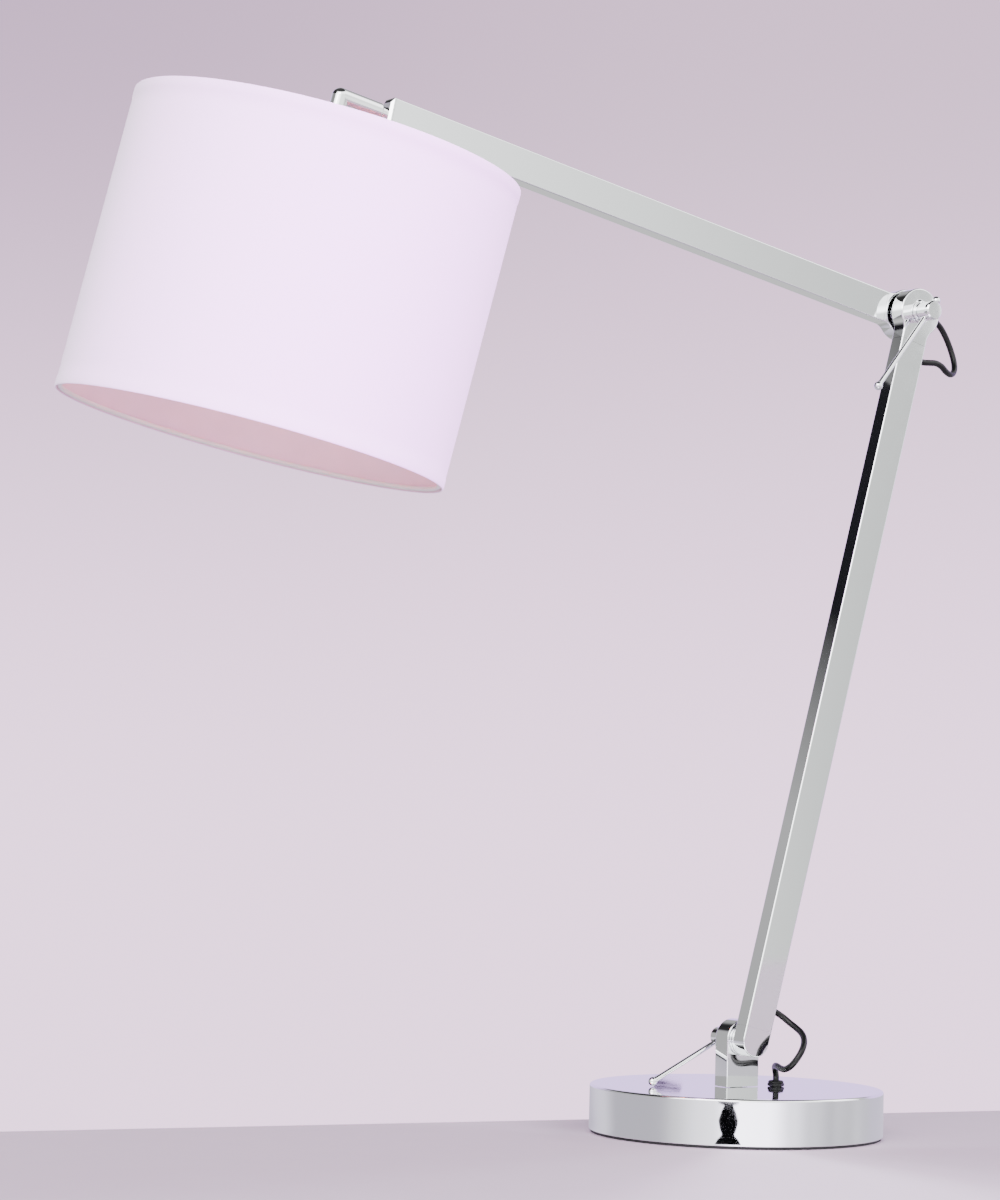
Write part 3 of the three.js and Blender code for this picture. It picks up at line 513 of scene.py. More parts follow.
def smoothRoute(points, spacing):
    # centripetal spline through the points, then even steps along it
    knots = [Vector(p) for p in points]
    knots = [2 * knots[0] - knots[1]] + knots + [2 * knots[-1] - knots[-2]]
    fine = []
    for p0, p1, p2, p3 in zip(knots, knots[1:], knots[2:], knots[3:]):
        t1 = (p1 - p0).length ** 0.5
        t2 = t1 + (p2 - p1).length ** 0.5
        t3 = t2 + (p3 - p2).length ** 0.5
        for k in range(24):
            t = t1 + (t2 - t1) * k / 24
            a1 = p0 * ((t1 - t) / t1) + p1 * (t / t1)
            a2 = p1 * ((t2 - t) / (t2 - t1)) + p2 * ((t - t1) / (t2 - t1))
            a3 = p2 * ((t3 - t) / (t3 - t2)) + p3 * ((t - t2) / (t3 - t2))
            b1 = a1 * ((t2 - t) / t2) + a2 * (t / t2)
            b2 = a2 * ((t3 - t) / (t3 - t1)) + a3 * ((t - t1) / (t3 - t1))
            fine.append(b1 * ((t2 - t) / (t2 - t1)) + b2 * ((t - t1) / (t2 - t1)))
    fine.append(knots[-2])
    lengths = [0.0]
    for a, b in zip(fine, fine[1:]):
        lengths.append(lengths[-1] + (b - a).length)
    count = max(8, round(lengths[-1] / spacing))
    even = []
    j = 0
    for k in range(count + 1):
        goal = lengths[-1] * k / count
        while j < len(lengths) - 2 and lengths[j + 1] < goal:
            j += 1
        share = (goal - lengths[j]) / (lengths[j + 1] - lengths[j])
        even.append(fine[j].lerp(fine[j + 1], share))
    return even, lengths[-1]


def flexPiece(name, route):
    even, length = smoothRoute(route, flex["ring"])
    line = bpy.data.curves.new(name, "CURVE")
    line.dimensions = "3D"
    line.bevel_depth = flex["diameter"] / 2 * mm
    line.bevel_resolution = flex["sides"] // 4 - 1
    line.use_fill_caps = True
    line.resolution_u = 1
    spline = line.splines.new("POLY")
    spline.points.add(len(even) - 1)
    for point, place in zip(spline.points, even):
        point.co = (*(place * mm), 1)
    obj = bpy.data.objects.new(name, line)
    bpy.context.collection.objects.link(obj)
    activate(obj)
    bpy.ops.object.convert(target="MESH")
    obj = bpy.context.active_object
    editMode()
    bpy.ops.mesh.remove_doubles(threshold=0.001 * mm)
    bpy.ops.mesh.normals_make_consistent(inside=False)
    objectMode()
    path = [tuple(p * mm) for p in even]
    return obj, path, length * mm


loopFlex = {
    "baseFlex": {
        "route": baseLoopRoute, "ends": ("base", "lower_arm"), "node": "flex_base_loop",
        "start": (27.0, -9.0, 36.5), "end": (15.2, -15.6, 84.5),
    },
    "elbowFlex": {
        "route": elbowLoopRoute, "ends": ("lower_arm", "upper_arm"), "node": "flex_elbow_loop",
        "start": (136.0, -15.6, 541.0), "end": (148.0, -1.0, 579.6),
    },
}
for name, loop in loopFlex.items():
    obj, path, length = flexPiece(name, loop["route"])
    finishPiece(obj, sheath, "flex_pvc", nodes=[loop["node"]], angle=60, weighted=False)
    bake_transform(obj)
    print(name, round(length * 1000, 1), "mm")


def hiddenFlex(name, route, place, body, node):
    obj, path, length = flexPiece(name, route)
    finishPiece(obj, sheath, "flex_pvc", body, place, [node], angle=60, weighted=False)
    print(name, round(length * 1000, 1), "mm")


# in the lower arm the flex turns in at each hole and runs up the middle
armFlex = {"bend": 12, "side": -1, "turns": (11, 25, 40, 60, 75, 90), "middle": (60, 260, 460)}


def turnIn():
    bend = armFlex["bend"]
    angles = [math.radians(t) for t in armFlex["turns"]]
    return [(armFlex["side"] + bend * (1 - math.sin(t)), bend * (1 - math.cos(t))) for t in angles]


lowHole, highHole = arms["holes"]
armRoute = [(x, 0, lowHole + z) for x, z in turnIn()]
armRoute += [(armFlex["side"], 0, z) for z in armFlex["middle"]]
armRoute += [(x, 0, highHole - z) for x, z in reversed(turnIn())]
earRoute = [(7.2, 0, -12.5), (7.2, 0, 0), (7.2, 0, 30), (5.8, 0, 48), (1.4, 0, 80), (0, 0, 100)]
earRoute += [(0, 0, 380), (0, 0, 428), (0, 0, 456.5)]
pipeRoute = [(19.6, 0, 0), (12, 0, 0), (9, 0, 0), (2.64, 0, -2.64), (0, 0, -9), (0, 0, -13), (0, 0, -48)]
baseRoute = [(43, -9, 9), (37, -9, 9.3), (31, -9, 11.5), (27.8, -9, 16), (27, -9, 22), (27, -9, 33.2)]
hiddenFlex("lowerArmFlex", armRoute, lowerFrame, "lower_arm", "flex_lower_arm")
hiddenFlex("upperArmFlex", earRoute, upperFrame, "upper_arm", "flex_upper_arm")
hiddenFlex("headFlex", pipeRoute, shadeFrame, "lamp_head", "flex_head")
hiddenFlex("baseInnerFlex", baseRoute, Matrix.Identity(4), "base", "flex_base")

# base
base = {"radius": 100.0, "top": 32.5, "low": 1.8, "wall": 1.5, "edge": 1.7, "segments": 192}


def baseShell():
    r, top, low, wall, edge = (base[k] for k in ("radius", "top", "low", "wall", "edge"))
    rim = arcPoints(r - edge, top - edge, edge, 90, 0, 7)
    profile = [(0, top)] + rim + [(r, low + 0.3), (r - 0.3, low), (r - wall + 0.2, low)]
    profile += [(r - wall, low + 0.2), (r - wall, top - 3.2), (r - wall - 1.2, top - 2), (0, top - 2)]
    obj = turnPiece("baseShell", profile, radius=0, segments=base["segments"], closed=False)
    cutWith(obj, rodTool(4.3, (0, 0, 20), (0, 0, 40)))
    cutWith(obj, rodTool(4.0, (27, -9, 20), (27, -9, 40)))
    cutWith(obj, rodTool(5.3, (90, 0, 10), (106, 0, 10)))
    finishPiece(obj, chrome, "chrome", "base", nodes=["base_shell"])


pad = {
    "low": 0.0,
    "groove": 0.5,
    "top": 1.5,
    "ribs": 12,
    "first": 24,
    "pitch": 6,
    "flank": 1,
    "tread": 3.2,
    "edge": 98.7,
}


def basePad():
    # foam rubber ring pad, ribbed underneath so that it grips
    low, groove, top, edge = (pad[k] for k in ("low", "groove", "top", "edge"))
    flank, tread = pad["flank"], pad["tread"]
    profile = [(0, groove), (pad["first"] - 4, groove)]
    for k in range(pad["ribs"]):
        r = pad["first"] + pad["pitch"] * k
        profile += [(r, groove), (r + flank, low), (r + tread, low), (r + tread + flank, groove)]
    profile += [(edge - 1.3, groove), (edge - 1.0, low), (edge, low), (edge, top), (0, top)]
    obj = turnPiece("basePad", profile, radius=0.12, segments=128, closed=False, steps=2)
    finishPiece(obj, rubber, "black_rubber", "base", nodes=["base_pad"])


baseShell()
basePad()
print("base made")


def footOutline(half, length, steps=36):
    # straight sides from z = length to the pivot, and a half round beyond it
    side = -1 if length > 0 else 1
    return [(half, length)] + arcPoints(0, 0, half, 0, side * 180, steps) + [(-half, length)]


post = {"width": 27.0, "depth": 14.0, "foot": -31.95, "rim": 0.7, "centre": (0, 0, 64.75)}


def postPiece():
    obj = platePiece("pivotPost", footOutline(post["width"] / 2, post["foot"]), post["depth"], post["rim"])
    cutWith(obj, rodTool(4.0, (0, -12, 0), (0, 12, 0)))
    cutWith(obj, rodTool(4.1, (0, 0, -40), (0, 0, -14)))
    finishPiece(obj, chrome, "chrome", "base", shift(*post["centre"]), ["post"])


postPiece()

gland = {
    "x": 27.0,
    "y": -9.0,
    "hex": 5.8,
    "low": 32.8,
    "mid": 34.95,
    "top": 36.7,
    "thread": 3.7,
    "bore": 2.45,
}


def glandPieces():
    # hexagon nut with chamfered corners, then a ribbed dome nut
    hexRadius, low, mid, top = (gland[k] for k in ("hex", "low", "mid", "top"))
    place = shift(gland["x"], gland["y"], 0)
    deselectAll()
    bpy.ops.mesh.primitive_cylinder_add(
        vertices=6, radius=hexRadius * mm, depth=(mid - low) * mm, location=(0, 0, (low + mid) / 2 * mm)
    )
    obj = nameActive("glandNut")
    bpy.ops.object.transform_apply(location=True)
    trimLow = [(0, low - 1), (hexRadius - 0.5, low - 1), (hexRadius - 0.5, low), (hexRadius + 0.1, low + 0.5)]
    trimHigh = [(hexRadius + 0.1, mid - 0.5), (hexRadius - 0.6, mid), (hexRadius - 0.6, mid + 1)]
    trim = turnPiece("glandTrim", trimLow + trimHigh + [(0, mid + 1)], 0, 48, closed=False)
    combine(obj, trim, "INTERSECT")
    threadSide = [(0, 26), (gland["thread"], 26), (gland["thread"], low + 0.4), (0, low + 0.4)]
    thread = turnPiece("glandThread", threadSide, 0.2, 48, closed=False)
    neckSide = [(0, mid - 0.4), (3.2, mid - 0.4), (3.2, top - 0.9), (0, top - 0.9)]
    neck = turnPiece("glandNeck", neckSide, 0.1, 48, closed=False)
    for tool in (thread, neck):
        combine(obj, tool, "UNION")
    cutWith(obj, rodTool(gland["bore"], (0, 0, 20), (0, 0, 40)))
    finishPiece(obj, nylon, "black_nylon", "base", place, ["gland_body"], angle=25)

    domeSide = [(3.45, mid + 0.15), (5.3, mid + 0.15), (5.35, mid + 0.9), (4.5, top - 0.1), (3.4, top + 0.1)]
    domeSide += [(2.5, top + 0.1), (2.5, top - 0.6), (3.45, top - 0.6)]
    dome = turnPiece("glandDome", domeSide, 0.25, 48)
    for k in range(12):
        turn = math.radians(30 * k)
        x, y = 5.65 * math.cos(turn), 5.65 * math.sin(turn)
        cutWith(dome, rodTool(0.35, (x, y, 30), (x, y, 40), 12))
    finishPiece(dome, nylon, "black_nylon", "base", place, ["gland_cap"], angle=25)


glandPieces()

bush = {"bore": 3.7, "body": 5.0, "flange": 6.0, "inside": 92.5, "rim": 100.15, "end": 101.5, "height": 10}


def mainsBush():
    bore, body, flange, inside, rim, end, height = bush.values()
    profile = [(bore, inside), (body, inside), (body, rim), (flange, rim + 0.15), (flange - 0.1, end - 0.5)]
    profile += [(flange - 0.8, end), (bore + 0.6, end), (bore, end - 0.5)]
    obj = turnPiece("mainsBush", profile, radius=0.2, segments=64)
    finishPiece(obj, nylon, "black_nylon", "base", shift(0, 0, height) @ alongX, ["mains_bush"])


mainsBush()
print("post and glands made")


# pivots: washers, clamp screws and their bars
rings = {"spacer": 10.5, "washer": 7.9, "thick": 2.0, "bore": 4.0, "edge": 0.45}


def ringPiece(name, kind, low, place, body, node):
    outer, bore, high = rings[kind], rings["bore"], low + rings["thick"]
    profile = [(bore, low), (outer, low), (outer, high), (bore, high)]
    obj = turnPiece(name, profile, radius=rings["edge"], segments=96)
    finishPiece(obj, chrome, "chrome", body, place @ alongY, [node])


basePivotFrame = shift(*post["centre"])
ringPiece("baseSpacer", "spacer", -9.3, basePivotFrame, "base", "base_spacer")
ringPiece("baseClampWasher", "washer", 7.3, basePivotFrame, "base", "base_clamp_washer")
elbowPivotFrame = elbowFrame @ shift(0, 1.0, 0)  # its Y is the lamp's own
ringPiece("elbowSpacer", "spacer", -9.3, elbowPivotFrame, "lower_arm", "elbow_spacer")
ringPiece("elbowClampWasher", "washer", -23.9, elbowPivotFrame, "lower_arm", "elbow_clamp_washer")

clamps = {
    "head": 6.75,
    "shank": 3.7,
    "length": 12.8,
    "chamfer": 0.9,
    "rod": 1.75,
    "ball": 3.1,
    "collar": 2.05,
    "span": 83.0,
    "gap": 0.3,
}


def clampPieces(label, frameAt, side, seat, end, barLong, barAngle, body, barBody):
    # head and shank about Z, towards +Z, then laid along Y on the clamp's own side
    head, shank, c, gap = (clamps[k] for k in ("head", "shank", "chamfer", "gap"))
    low = seat + gap
    high = low + clamps["length"]
    profile = [(0, end), (shank - 0.5, end), (shank, end + 0.5), (shank, low - 0.15), (head - c, low)]
    profile += [(head, low + c), (head, high - c), (head - c, high), (0, high)]
    obj = turnPiece(f"{label}ClampScrew", profile, radius=0.28, segments=96, closed=False)
    activate(obj)
    obj.matrix_world = alongY if side > 0 else spinAbout("X", 90)
    bpy.ops.object.transform_apply(location=False, rotation=True, scale=True)
    middle = side * (low + clamps["length"] / 2)
    tilt = math.radians(barAngle)
    far = Vector((-math.cos(tilt), 0, -math.sin(tilt)))
    seatPoint = Vector((0, middle, 0))
    cutWith(obj, rodTool(clamps["rod"] + 0.25, seatPoint - far * 12, seatPoint + far * 12))
    finishPiece(obj, chrome, "chrome", body, frameAt, [f"{label}_clamp_screw"])

    # rod and balls are turned about Z, with the long side towards +Z
    rod, ball, collar = (clamps[k] for k in ("rod", "ball", "collar"))
    short = clamps["span"] - barLong
    aim = frameAt @ Matrix.Translation(seatPoint * mm) @ far.to_track_quat("Z", "Y").to_matrix().to_4x4()
    profile = [(0, gap - short), (rod, gap - short), (rod, barLong - gap), (0, barLong - gap)]
    bar = turnPiece(f"{label}Bar", profile, 0.2, 48, closed=False)
    finishPiece(bar, chrome, "chrome", barBody, aim, [f"{label}_bar_rod"])
    # a small collar leads into each ball
    profile = [(0, -0.2), (rod + 0.1, -0.2), (rod + 0.1, -2.9), (collar, -2.95)]
    profile += arcPoints(0, 0, ball, -48, 90, 14)[:-1] + [(0, ball)]
    turned = {"far": shift(0, 0, barLong), "near": shift(0, 0, -short) @ spinAbout("X", 180)}
    for which, place in turned.items():
        obj = turnPiece(f"{label}Ball{which.capitalize()}", profile, radius=0, segments=48, closed=False)
        finishPiece(obj, chrome, "chrome", barBody, aim @ place, [f"{label}_bar_ball_{which}"])


elbowClampFrame = Matrix.Translation(elbowPivotFrame.translation)
elbowClampFrame.translation.y = 0
clampSets = {
    "base": {
        "frameAt": basePivotFrame, "side": 1, "seat": 9.3, "end": -19.0, "barLong": 65.6, "barAngle": 26.0,
        "body": "base_clamp", "barBody": "base_bar",
    },
    "elbow": {
        "frameAt": elbowClampFrame, "side": -1, "seat": 23.9, "end": -2.7, "barLong": 72.85, "barAngle": 51.7,
        "body": "elbow_clamp", "barBody": "elbow_bar",
    },
}
for label, parts in clampSets.items():
    clampPieces(label, **parts)
print("clamps made")


# arms
def hubOutline(radius, width, neck, fillet, steps=48):
    # a round hub whose concave fillets run into a straight neck at z = neck
    half = width / 2
    rise = math.sqrt((radius + fillet) ** 2 - (half + fillet) ** 2)
    meet = math.degrees(math.atan2(rise, half + fillet))
    points = [(half, neck)]
    points += arcPoints(half + fillet, rise, fillet, 180, 180 + meet, 14)
    points += arcPoints(0, 0, radius, meet, -180 - meet, steps)[1:]
    points += arcPoints(-half - fillet, rise, fillet, -meet, 0, 14)[1:]
    points += [(-half, neck)]
    return points


def addTenon(obj, low, high):
    # the tongue that goes up the tube
    clear = 2 * (arms["wall"] + 0.3)
    size = (arms["width"] - clear, arms["thickness"] - clear, high - low)
    combine(obj, boxPiece("tenonTool", size, (0, 0, (low + high) / 2)), "UNION")


def roundEdges(obj, shortest, segments):
    # the four edges that run along the arm, which are longer than this
    selectEdges(obj, lambda a, b: abs(a.z - b.z) > shortest)
    bpy.ops.mesh.bevel(offset=arms["corner"] * mm, segments=segments, affect="EDGES")
    objectMode()


def tubePiece(name, low, high, holes, frameAt, body, node):
    # drawn flat tube: four faces with small corner radii, open ends, its wall inside
    size = (arms["width"], arms["thickness"], high - low)
    obj = boxPiece(name, size, (0, 0, (low + high) / 2))
    roundEdges(obj, 0.1, 5)
    selectFaces(obj, lambda centre, normal: abs(normal.z) > 0.9)
    bpy.ops.mesh.delete(type="FACE")
    objectMode()
    useModifier(obj, "SOLIDIFY", thickness=arms["wall"] * mm, offset=-1)
    for z in holes:
        cutWith(obj, rodTool(3.1, (8, 0, z), (14, 0, z)))
    finishPiece(obj, chrome, "chrome", body, frameAt, [node])


lowerSizes = {"footNeck": 8.15, "tube": (8.3, 505.7), "hub": 17.2, "hubNeck": 22.15, "fillet": 10}


def lowerArm():
    width, thick, bore = arms["width"], arms["thickness"], arms["screwBore"]
    foot = platePiece("lowerArmFoot", footOutline(width / 2, lowerSizes["footNeck"]), thick, 0.8)
    addTenon(foot, 7.0, 18.0)
    cutWith(foot, rodTool(bore, (0, -4, 0), (0, 8, 0)))
    finishPiece(foot, chrome, "chrome", "lower_arm", lowerFrame, ["lower_arm_foot"])
    tubePiece("lowerArmTube", *lowerSizes["tube"], arms["holes"], lowerFrame, "lower_arm", "lower_arm_tube")
    upright = hubOutline(lowerSizes["hub"], width, lowerSizes["hubNeck"], lowerSizes["fillet"])
    hub = platePiece("lowerArmHub", [(x, -z) for x, z in upright], thick, 1.0)
    addTenon(hub, -27.8, -21.0)
    cutWith(hub, rodTool(bore, (0, -8, 0), (0, 8, 0)))
    place = lowerFrame @ shift(0, 0, arms["lowerLength"])
    finishPiece(hub, chrome, "chrome", "lower_arm", place, ["lower_arm_hub"])


upperSizes = {
    "ear": 18.0,
    "earNeck": 20.15,
    "fillet": 10,
    "tube": (20.3, 440.0),
    "channel": 7.2,
    "plug": (440.1, 441.2),
    "taper": 1.6,
    "drawnIn": 0.74,
    "neckEnd": 456.9,
}


def upperArm():
    width, thick, flexBore = arms["width"], arms["thickness"], arms["flexBore"]
    outline = hubOutline(upperSizes["ear"], width, upperSizes["earNeck"], upperSizes["fillet"])
    ear = platePiece("upperArmEar", outline, thick, 1.0)
    addTenon(ear, 19.0, 30.0)
    cutWith(ear, rodTool(arms["screwBore"], (0, -8, 0), (0, 4, 0)))
    cutWith(ear, rodTool(flexBore, (upperSizes["channel"], 0, -24), (upperSizes["channel"], 0, 34)))
    finishPiece(ear, chrome, "chrome", "upper_arm", upperFrame, ["upper_arm_ear"])
    tubePiece("upperArmTube", *upperSizes["tube"], (), upperFrame, "upper_arm", "upper_arm_tube")

    # the end cap: a block drawn in on all four sides to a round neck
    low, high = upperSizes["plug"]
    plug = boxPiece("upperArmPlug", (width, thick, high - low), (0, 0, (low + high) / 2))
    roundEdges(plug, 0.0005, 4)
    selectFaces(plug, lambda centre, normal: normal.z > 0.9)
    drawn, taper, end = upperSizes["drawnIn"], upperSizes["taper"], upperSizes["neckEnd"]
    bpy.ops.mesh.extrude_region_move(TRANSFORM_OT_translate={"value": (0, 0, taper * mm)})
    bpy.ops.transform.resize(value=(drawn, drawn, 1), center_override=(0, 0, (high + taper) * mm))
    objectMode()
    addTenon(plug, 428.3, 440.8)
    neckSide = [(0, 442.0), (4.9, 442.0), (4.55, 442.9), (4.2, 443.6), (4.2, end), (0, end)]
    combine(plug, turnPiece("plugNeck", neckSide, 0.2, 64, closed=False), "UNION")
    cutWith(plug, rodTool(flexBore, (0, 0, 420), (0, 0, 460)))
    finishPiece(plug, chrome, "chrome", "upper_arm", upperFrame, ["upper_arm_plug"])


grommet = {"bore": 2.35, "neck": 2.9, "flange": 4.6, "inside": 9.9, "face": 11.1, "end": 12.3}


def grommets():
    bore, neck, flange, inside, face, end = grommet.values()
    profile = [(bore, inside), (neck, inside), (neck, face), (flange, face + 0.05), (flange - 0.1, end - 0.4)]
    profile += [(flange - 0.7, end), (neck, end), (bore, end - 0.3)]
    for label, z in zip(("lower", "upper"), arms["holes"]):
        obj = turnPiece(f"flexGrommet{label.capitalize()}", profile, radius=0.15, segments=48)
        place = lowerFrame @ shift(0, 0, z) @ alongX
        finishPiece(obj, nylon, "black_nylon", "lower_arm", place, [f"flex_grommet_{label}"])


lowerArm()
upperArm()
grommets()
print("arms made")

def headPiece(obj, material, slot, node, place=shadeFrame, **more):
    # everything that turns with the shade is made about the shade's axis
    return finishPiece(obj, material, slot, "lamp_head", place, [node], **more)


# lampholder pipe
pipe = {"radius": 5.85, "bore": 4.5, "start": 30.2, "low": -51.4}


def swivelPipe():
    r, start, low = pipe["radius"], pipe["start"], pipe["low"]
    legSide = [(0, -0.5), (r, -0.5), (r, start - 1.3), (5.0, start), (0, start)]
    leg = turnPiece("swivelPipe", legSide, 0.3, 96, closed=False)
    activate(leg)
    leg.matrix_world = alongX
    bpy.ops.object.transform_apply(location=False, rotation=True, scale=False)
    drop = turnPiece("pipeDrop", [(0, 0.5), (r, 0.5), (r, low), (0, low)], 0, 96, closed=False)
    deselectAll()
    bpy.ops.mesh.primitive_uv_sphere_add(segments=96, ring_count=48, radius=r * mm)
    knuckle = nameActive("pipeKnuckle")
    for tool in (drop, knuckle):
        combine(leg, tool, "UNION")
    cutWith(leg, rodTool(pipe["bore"], (0, 0, 0), (40, 0, 0)))
    cutWith(leg, rodTool(pipe["bore"], (0, 0, -60), (0, 0, 0)))
    headPiece(leg, chrome, "chrome", "swivel_pipe")


swivelPipe()

# lampholder, bulb and shade
holder = {
    "collar": (6.1, 9.0),
    "collarLow": -44.05,
    "collarHigh": -39.2,
    "flat": 7.6,
    "top": -44.4,
    "capLow": -58.4,
    "low": -92.7,
    "radius": 19.6,
    "wall": 2,
    "ring": (19.35, 25.9),
    "ringLow": -65.0,
    "ringHigh": -61.0,
    "knurls": 96,
    "knurl": 0.7,
}


def holderPieces():
    low, high = holder["collarLow"], holder["collarHigh"]
    inner, outer = holder["collar"]
    profile = [(inner, low), (outer, low), (outer, high - 1.2), (outer - 0.8, high), (inner, high)]
    collar = turnPiece("holderCollar", profile, 0.3, 64)
    for side in (-1, 1):
        # two flats for a spanner
        cutWith(collar, boxPiece("flatTool", (24, 10, 10), (0, side * (holder["flat"] + 5), -42)))
    headPiece(collar, chrome, "chrome", "holder_collar")

    top, capLow, r, wall = (holder[k] for k in ("top", "capLow", "radius", "wall"))
    profile = [(6.15, top), (10.2, top), (13.5, top - 1.6), (r - 1.6, top - 4.6), (r, top - 8)]
    profile += [(r, capLow + 0.1), (r - wall, capLow + 0.1), (r - wall, top - 8), (r - 4.5, top - 6)]
    profile += [(6.15, top - 2.6)]
    headPiece(turnPiece("holderCap", profile, 0.7, 96), porcelain, "white_plastic", "holder_cap")

    low = holder["low"]
    profile = [(2, capLow - 0.3), (18.8, capLow - 0.3), (19.0, capLow - 2), (19.0, low + 1), (18.2, low)]
    profile += [(14.6, low), (14.0, low + 1), (14.0, capLow - 6.2), (2, capLow - 6.2)]
    headPiece(turnPiece("holderBody", profile, 0.35, 96), porcelain, "white_plastic", "holder_body")

    # knurled retaining ring under the carrier's hub
    low, high, knurls = holder["ringLow"], holder["ringHigh"], holder["knurls"]
    inner, outer = holder["ring"]
    deselectAll()
    bpy.ops.mesh.primitive_cylinder_add(
        vertices=knurls, radius=outer * mm, depth=(high - low) * mm, location=(0, 0, (low + high) / 2 * mm)
    )
    ring = nameActive("holderRing")
    bpy.ops.object.transform_apply(location=True, rotation=False, scale=False)

    def everySecond(centre, normal):
        turn = math.degrees(math.atan2(normal.y, normal.x))
        return abs(normal.z) < 0.5 and int(turn // (360 / knurls) + knurls) % 2 == 0

    selectFaces(ring, everySecond)
    bpy.ops.mesh.extrude_faces_move(TRANSFORM_OT_shrink_fatten={"value": -holder["knurl"] * mm})
    objectMode()
    cutWith(ring, rodTool(inner, (0, 0, -80), (0, 0, -40), 96))
    useModifier(ring, "BEVEL", width=0.2 * mm, segments=2, limit_method="ANGLE", angle_limit=math.radians(40))
    headPiece(ring, porcelain, "white_plastic", "holder_retainer")


carrier = {
    "hubLow": -60.7,
    "hubHigh": -58.7,
    "hub": 25.0,
    "inner": 19.3,
    "hoop": 124.0,
    "wire": 1.5,
    "armWire": 1.6,
    "top": -32.7,
    "weld": 2.3,
    "arms": 3,
}


def wireRing(name, height, node):
    # a ring of drawn wire, butt welded: the weld stands up as a small bead
    deselectAll()
    bpy.ops.mesh.primitive_torus_add(
        location=(0, 0, height * mm),
        major_segments=192,
        minor_segments=16,
        major_radius=carrier["hoop"] * mm,
        minor_radius=(carrier["wire"] - 0.06) * mm,
    )
    ring = nameActive(name)
    bpy.ops.object.transform_apply(location=True, rotation=False, scale=False)
    selectFaces(ring, lambda centre, normal: centre.x > 0 and abs(centre.y) < 1.6 * mm)
    bpy.ops.mesh.subdivide(number_cuts=2)
    bpy.ops.transform.shrink_fatten(value=0.05 * mm)
    objectMode()
    headPiece(ring, wirePaint, "white_wire", node, angle=60)


def carrierPieces():
    # hub plate, three wire arms swept up to the hoop with a bead of weld at each end, and two rings
    inner, hub, low, high = (carrier[k] for k in ("inner", "hub", "hubLow", "hubHigh"))
    plate = turnPiece("carrierHub", [(inner, low), (hub, low), (hub, high), (inner, high)], 0.5, 96)
    headPiece(plate, wirePaint, "white_wire", "carrier_hub")
    start = Vector((hub + 0.7, 0, (low + high) / 2))
    hoopPoint = Vector((carrier["hoop"], 0, carrier["top"]))
    along = (hoopPoint - start).normalized()
    reach = (hoopPoint - start).length - carrier["wire"] - 0.4
    wire, weld = carrier["armWire"], carrier["weld"]
    profile = [(0, 0), (weld - 0.3, 0.1), (weld, 0.8), (wire + 0.1, 2.4), (wire, 3.4), (wire, reach - 3)]
    profile += [(wire + 0.1, reach - 1.8), (weld - 0.2, reach - 0.5), (weld - 0.7, reach), (0, reach)]
    aim = Matrix.Translation(start * mm) @ along.to_track_quat("Z", "Y").to_matrix().to_4x4()
    for k in range(carrier["arms"]):
        arm = turnPiece(f"carrierArm{k + 1}", profile, radius=0.3, segments=24, closed=False)
        place = shadeFrame @ spinAbout("Z", 360 / carrier["arms"] * k + 30) @ aim
        headPiece(arm, wirePaint, "white_wire", f"carrier_arm_{k + 1}", place)
    wireRing("carrierHoop", carrier["top"], "carrier_hoop")
    wireRing("shadeLowerRing", shade["low"] + 2.3, "shade_lower_ring")


shade = {
    "radius": 127.0,
    "wall": 1.2,
    "high": -30.4,
    "low": -227.4,
    "hem": 7.0,
    "hemThick": 0.35,
    "segments": 256,
    "seamWidth": 9.0,
    "seamAngle": 128.0,
}


def shadeDrum():
    # linen on a stiff lining, turned over the two rings: the hems stand a little proud of the cloth
    r, high, low = shade["radius"], shade["high"], shade["low"]
    cloth = r - shade["hemThick"]
    inner = r - shade["wall"]
    step = shade["hem"]
    outside = [(r - 0.1, low + 0.5), (r, low + 1.1), (r, low + step - 0.5), (cloth, low + step)]
    outside += [(cloth, low + step + k * (high - low - 2 * step) / 24) for k in range(1, 25)]
    outside += [(r, high - step + 0.5), (r, high - 1.1), (r - 0.1, high - 0.5), (r - 0.45, high)]
    inside = [(inner + 0.1, high - 0.1), (inner, high - 0.6), (inner, high - 40), (inner, low + 40)]
    inside += [(inner, low + 0.6), (inner + 0.1, low + 0.1), (r - 0.45, low)]
    obj = turnPiece("shadeDrum", outside + inside, radius=0, segments=shade["segments"])
    # the side seam: the cloth's end laps over its start and stands up by its thickness
    halfTurn = math.degrees(shade["seamWidth"] / 2 / r)
    for vertex in obj.data.vertices:
        across = vertex.co.xy.length
        if across < (cloth - 0.1) * mm:
            continue
        turn = math.degrees(math.atan2(vertex.co.y, vertex.co.x)) - shade["seamAngle"]
        if abs(turn) < halfTurn:
            vertex.co.xy *= min((across + 0.3 * mm) / across, (r + 0.25) * mm / across)
    # cloth map in metres: round the drum and up it
    layer = obj.data.uv_layers.new(name="cloth")
    for face in obj.data.polygons:
        middle = math.atan2(face.center.y, face.center.x)
        for loop in face.loop_indices:
            place = obj.data.vertices[obj.data.loops[loop].vertex_index].co
            turn = math.atan2(place.y, place.x)
            if turn - middle > math.pi:
                turn -= 2 * math.pi
            if middle - turn > math.pi:
                turn += 2 * math.pi
            layer.data[loop].uv = (turn * r * mm, place.z)
    headPiece(obj, linen, "linen", "shade_drum", angle=40, weighted=False, lining=lining)
    axis = (shadeFrame.to_3x3() @ Vector((0, 0, 1))).normalized()
    centre = shadeFrame.translation
    for face in obj.data.polygons:
        spoke = face.center - centre
        spoke -= axis * spoke.dot(axis)
        if face.normal.dot(spoke) < 0 and spoke.length < (inner + 0.3) * mm:
            face.material_index = 1


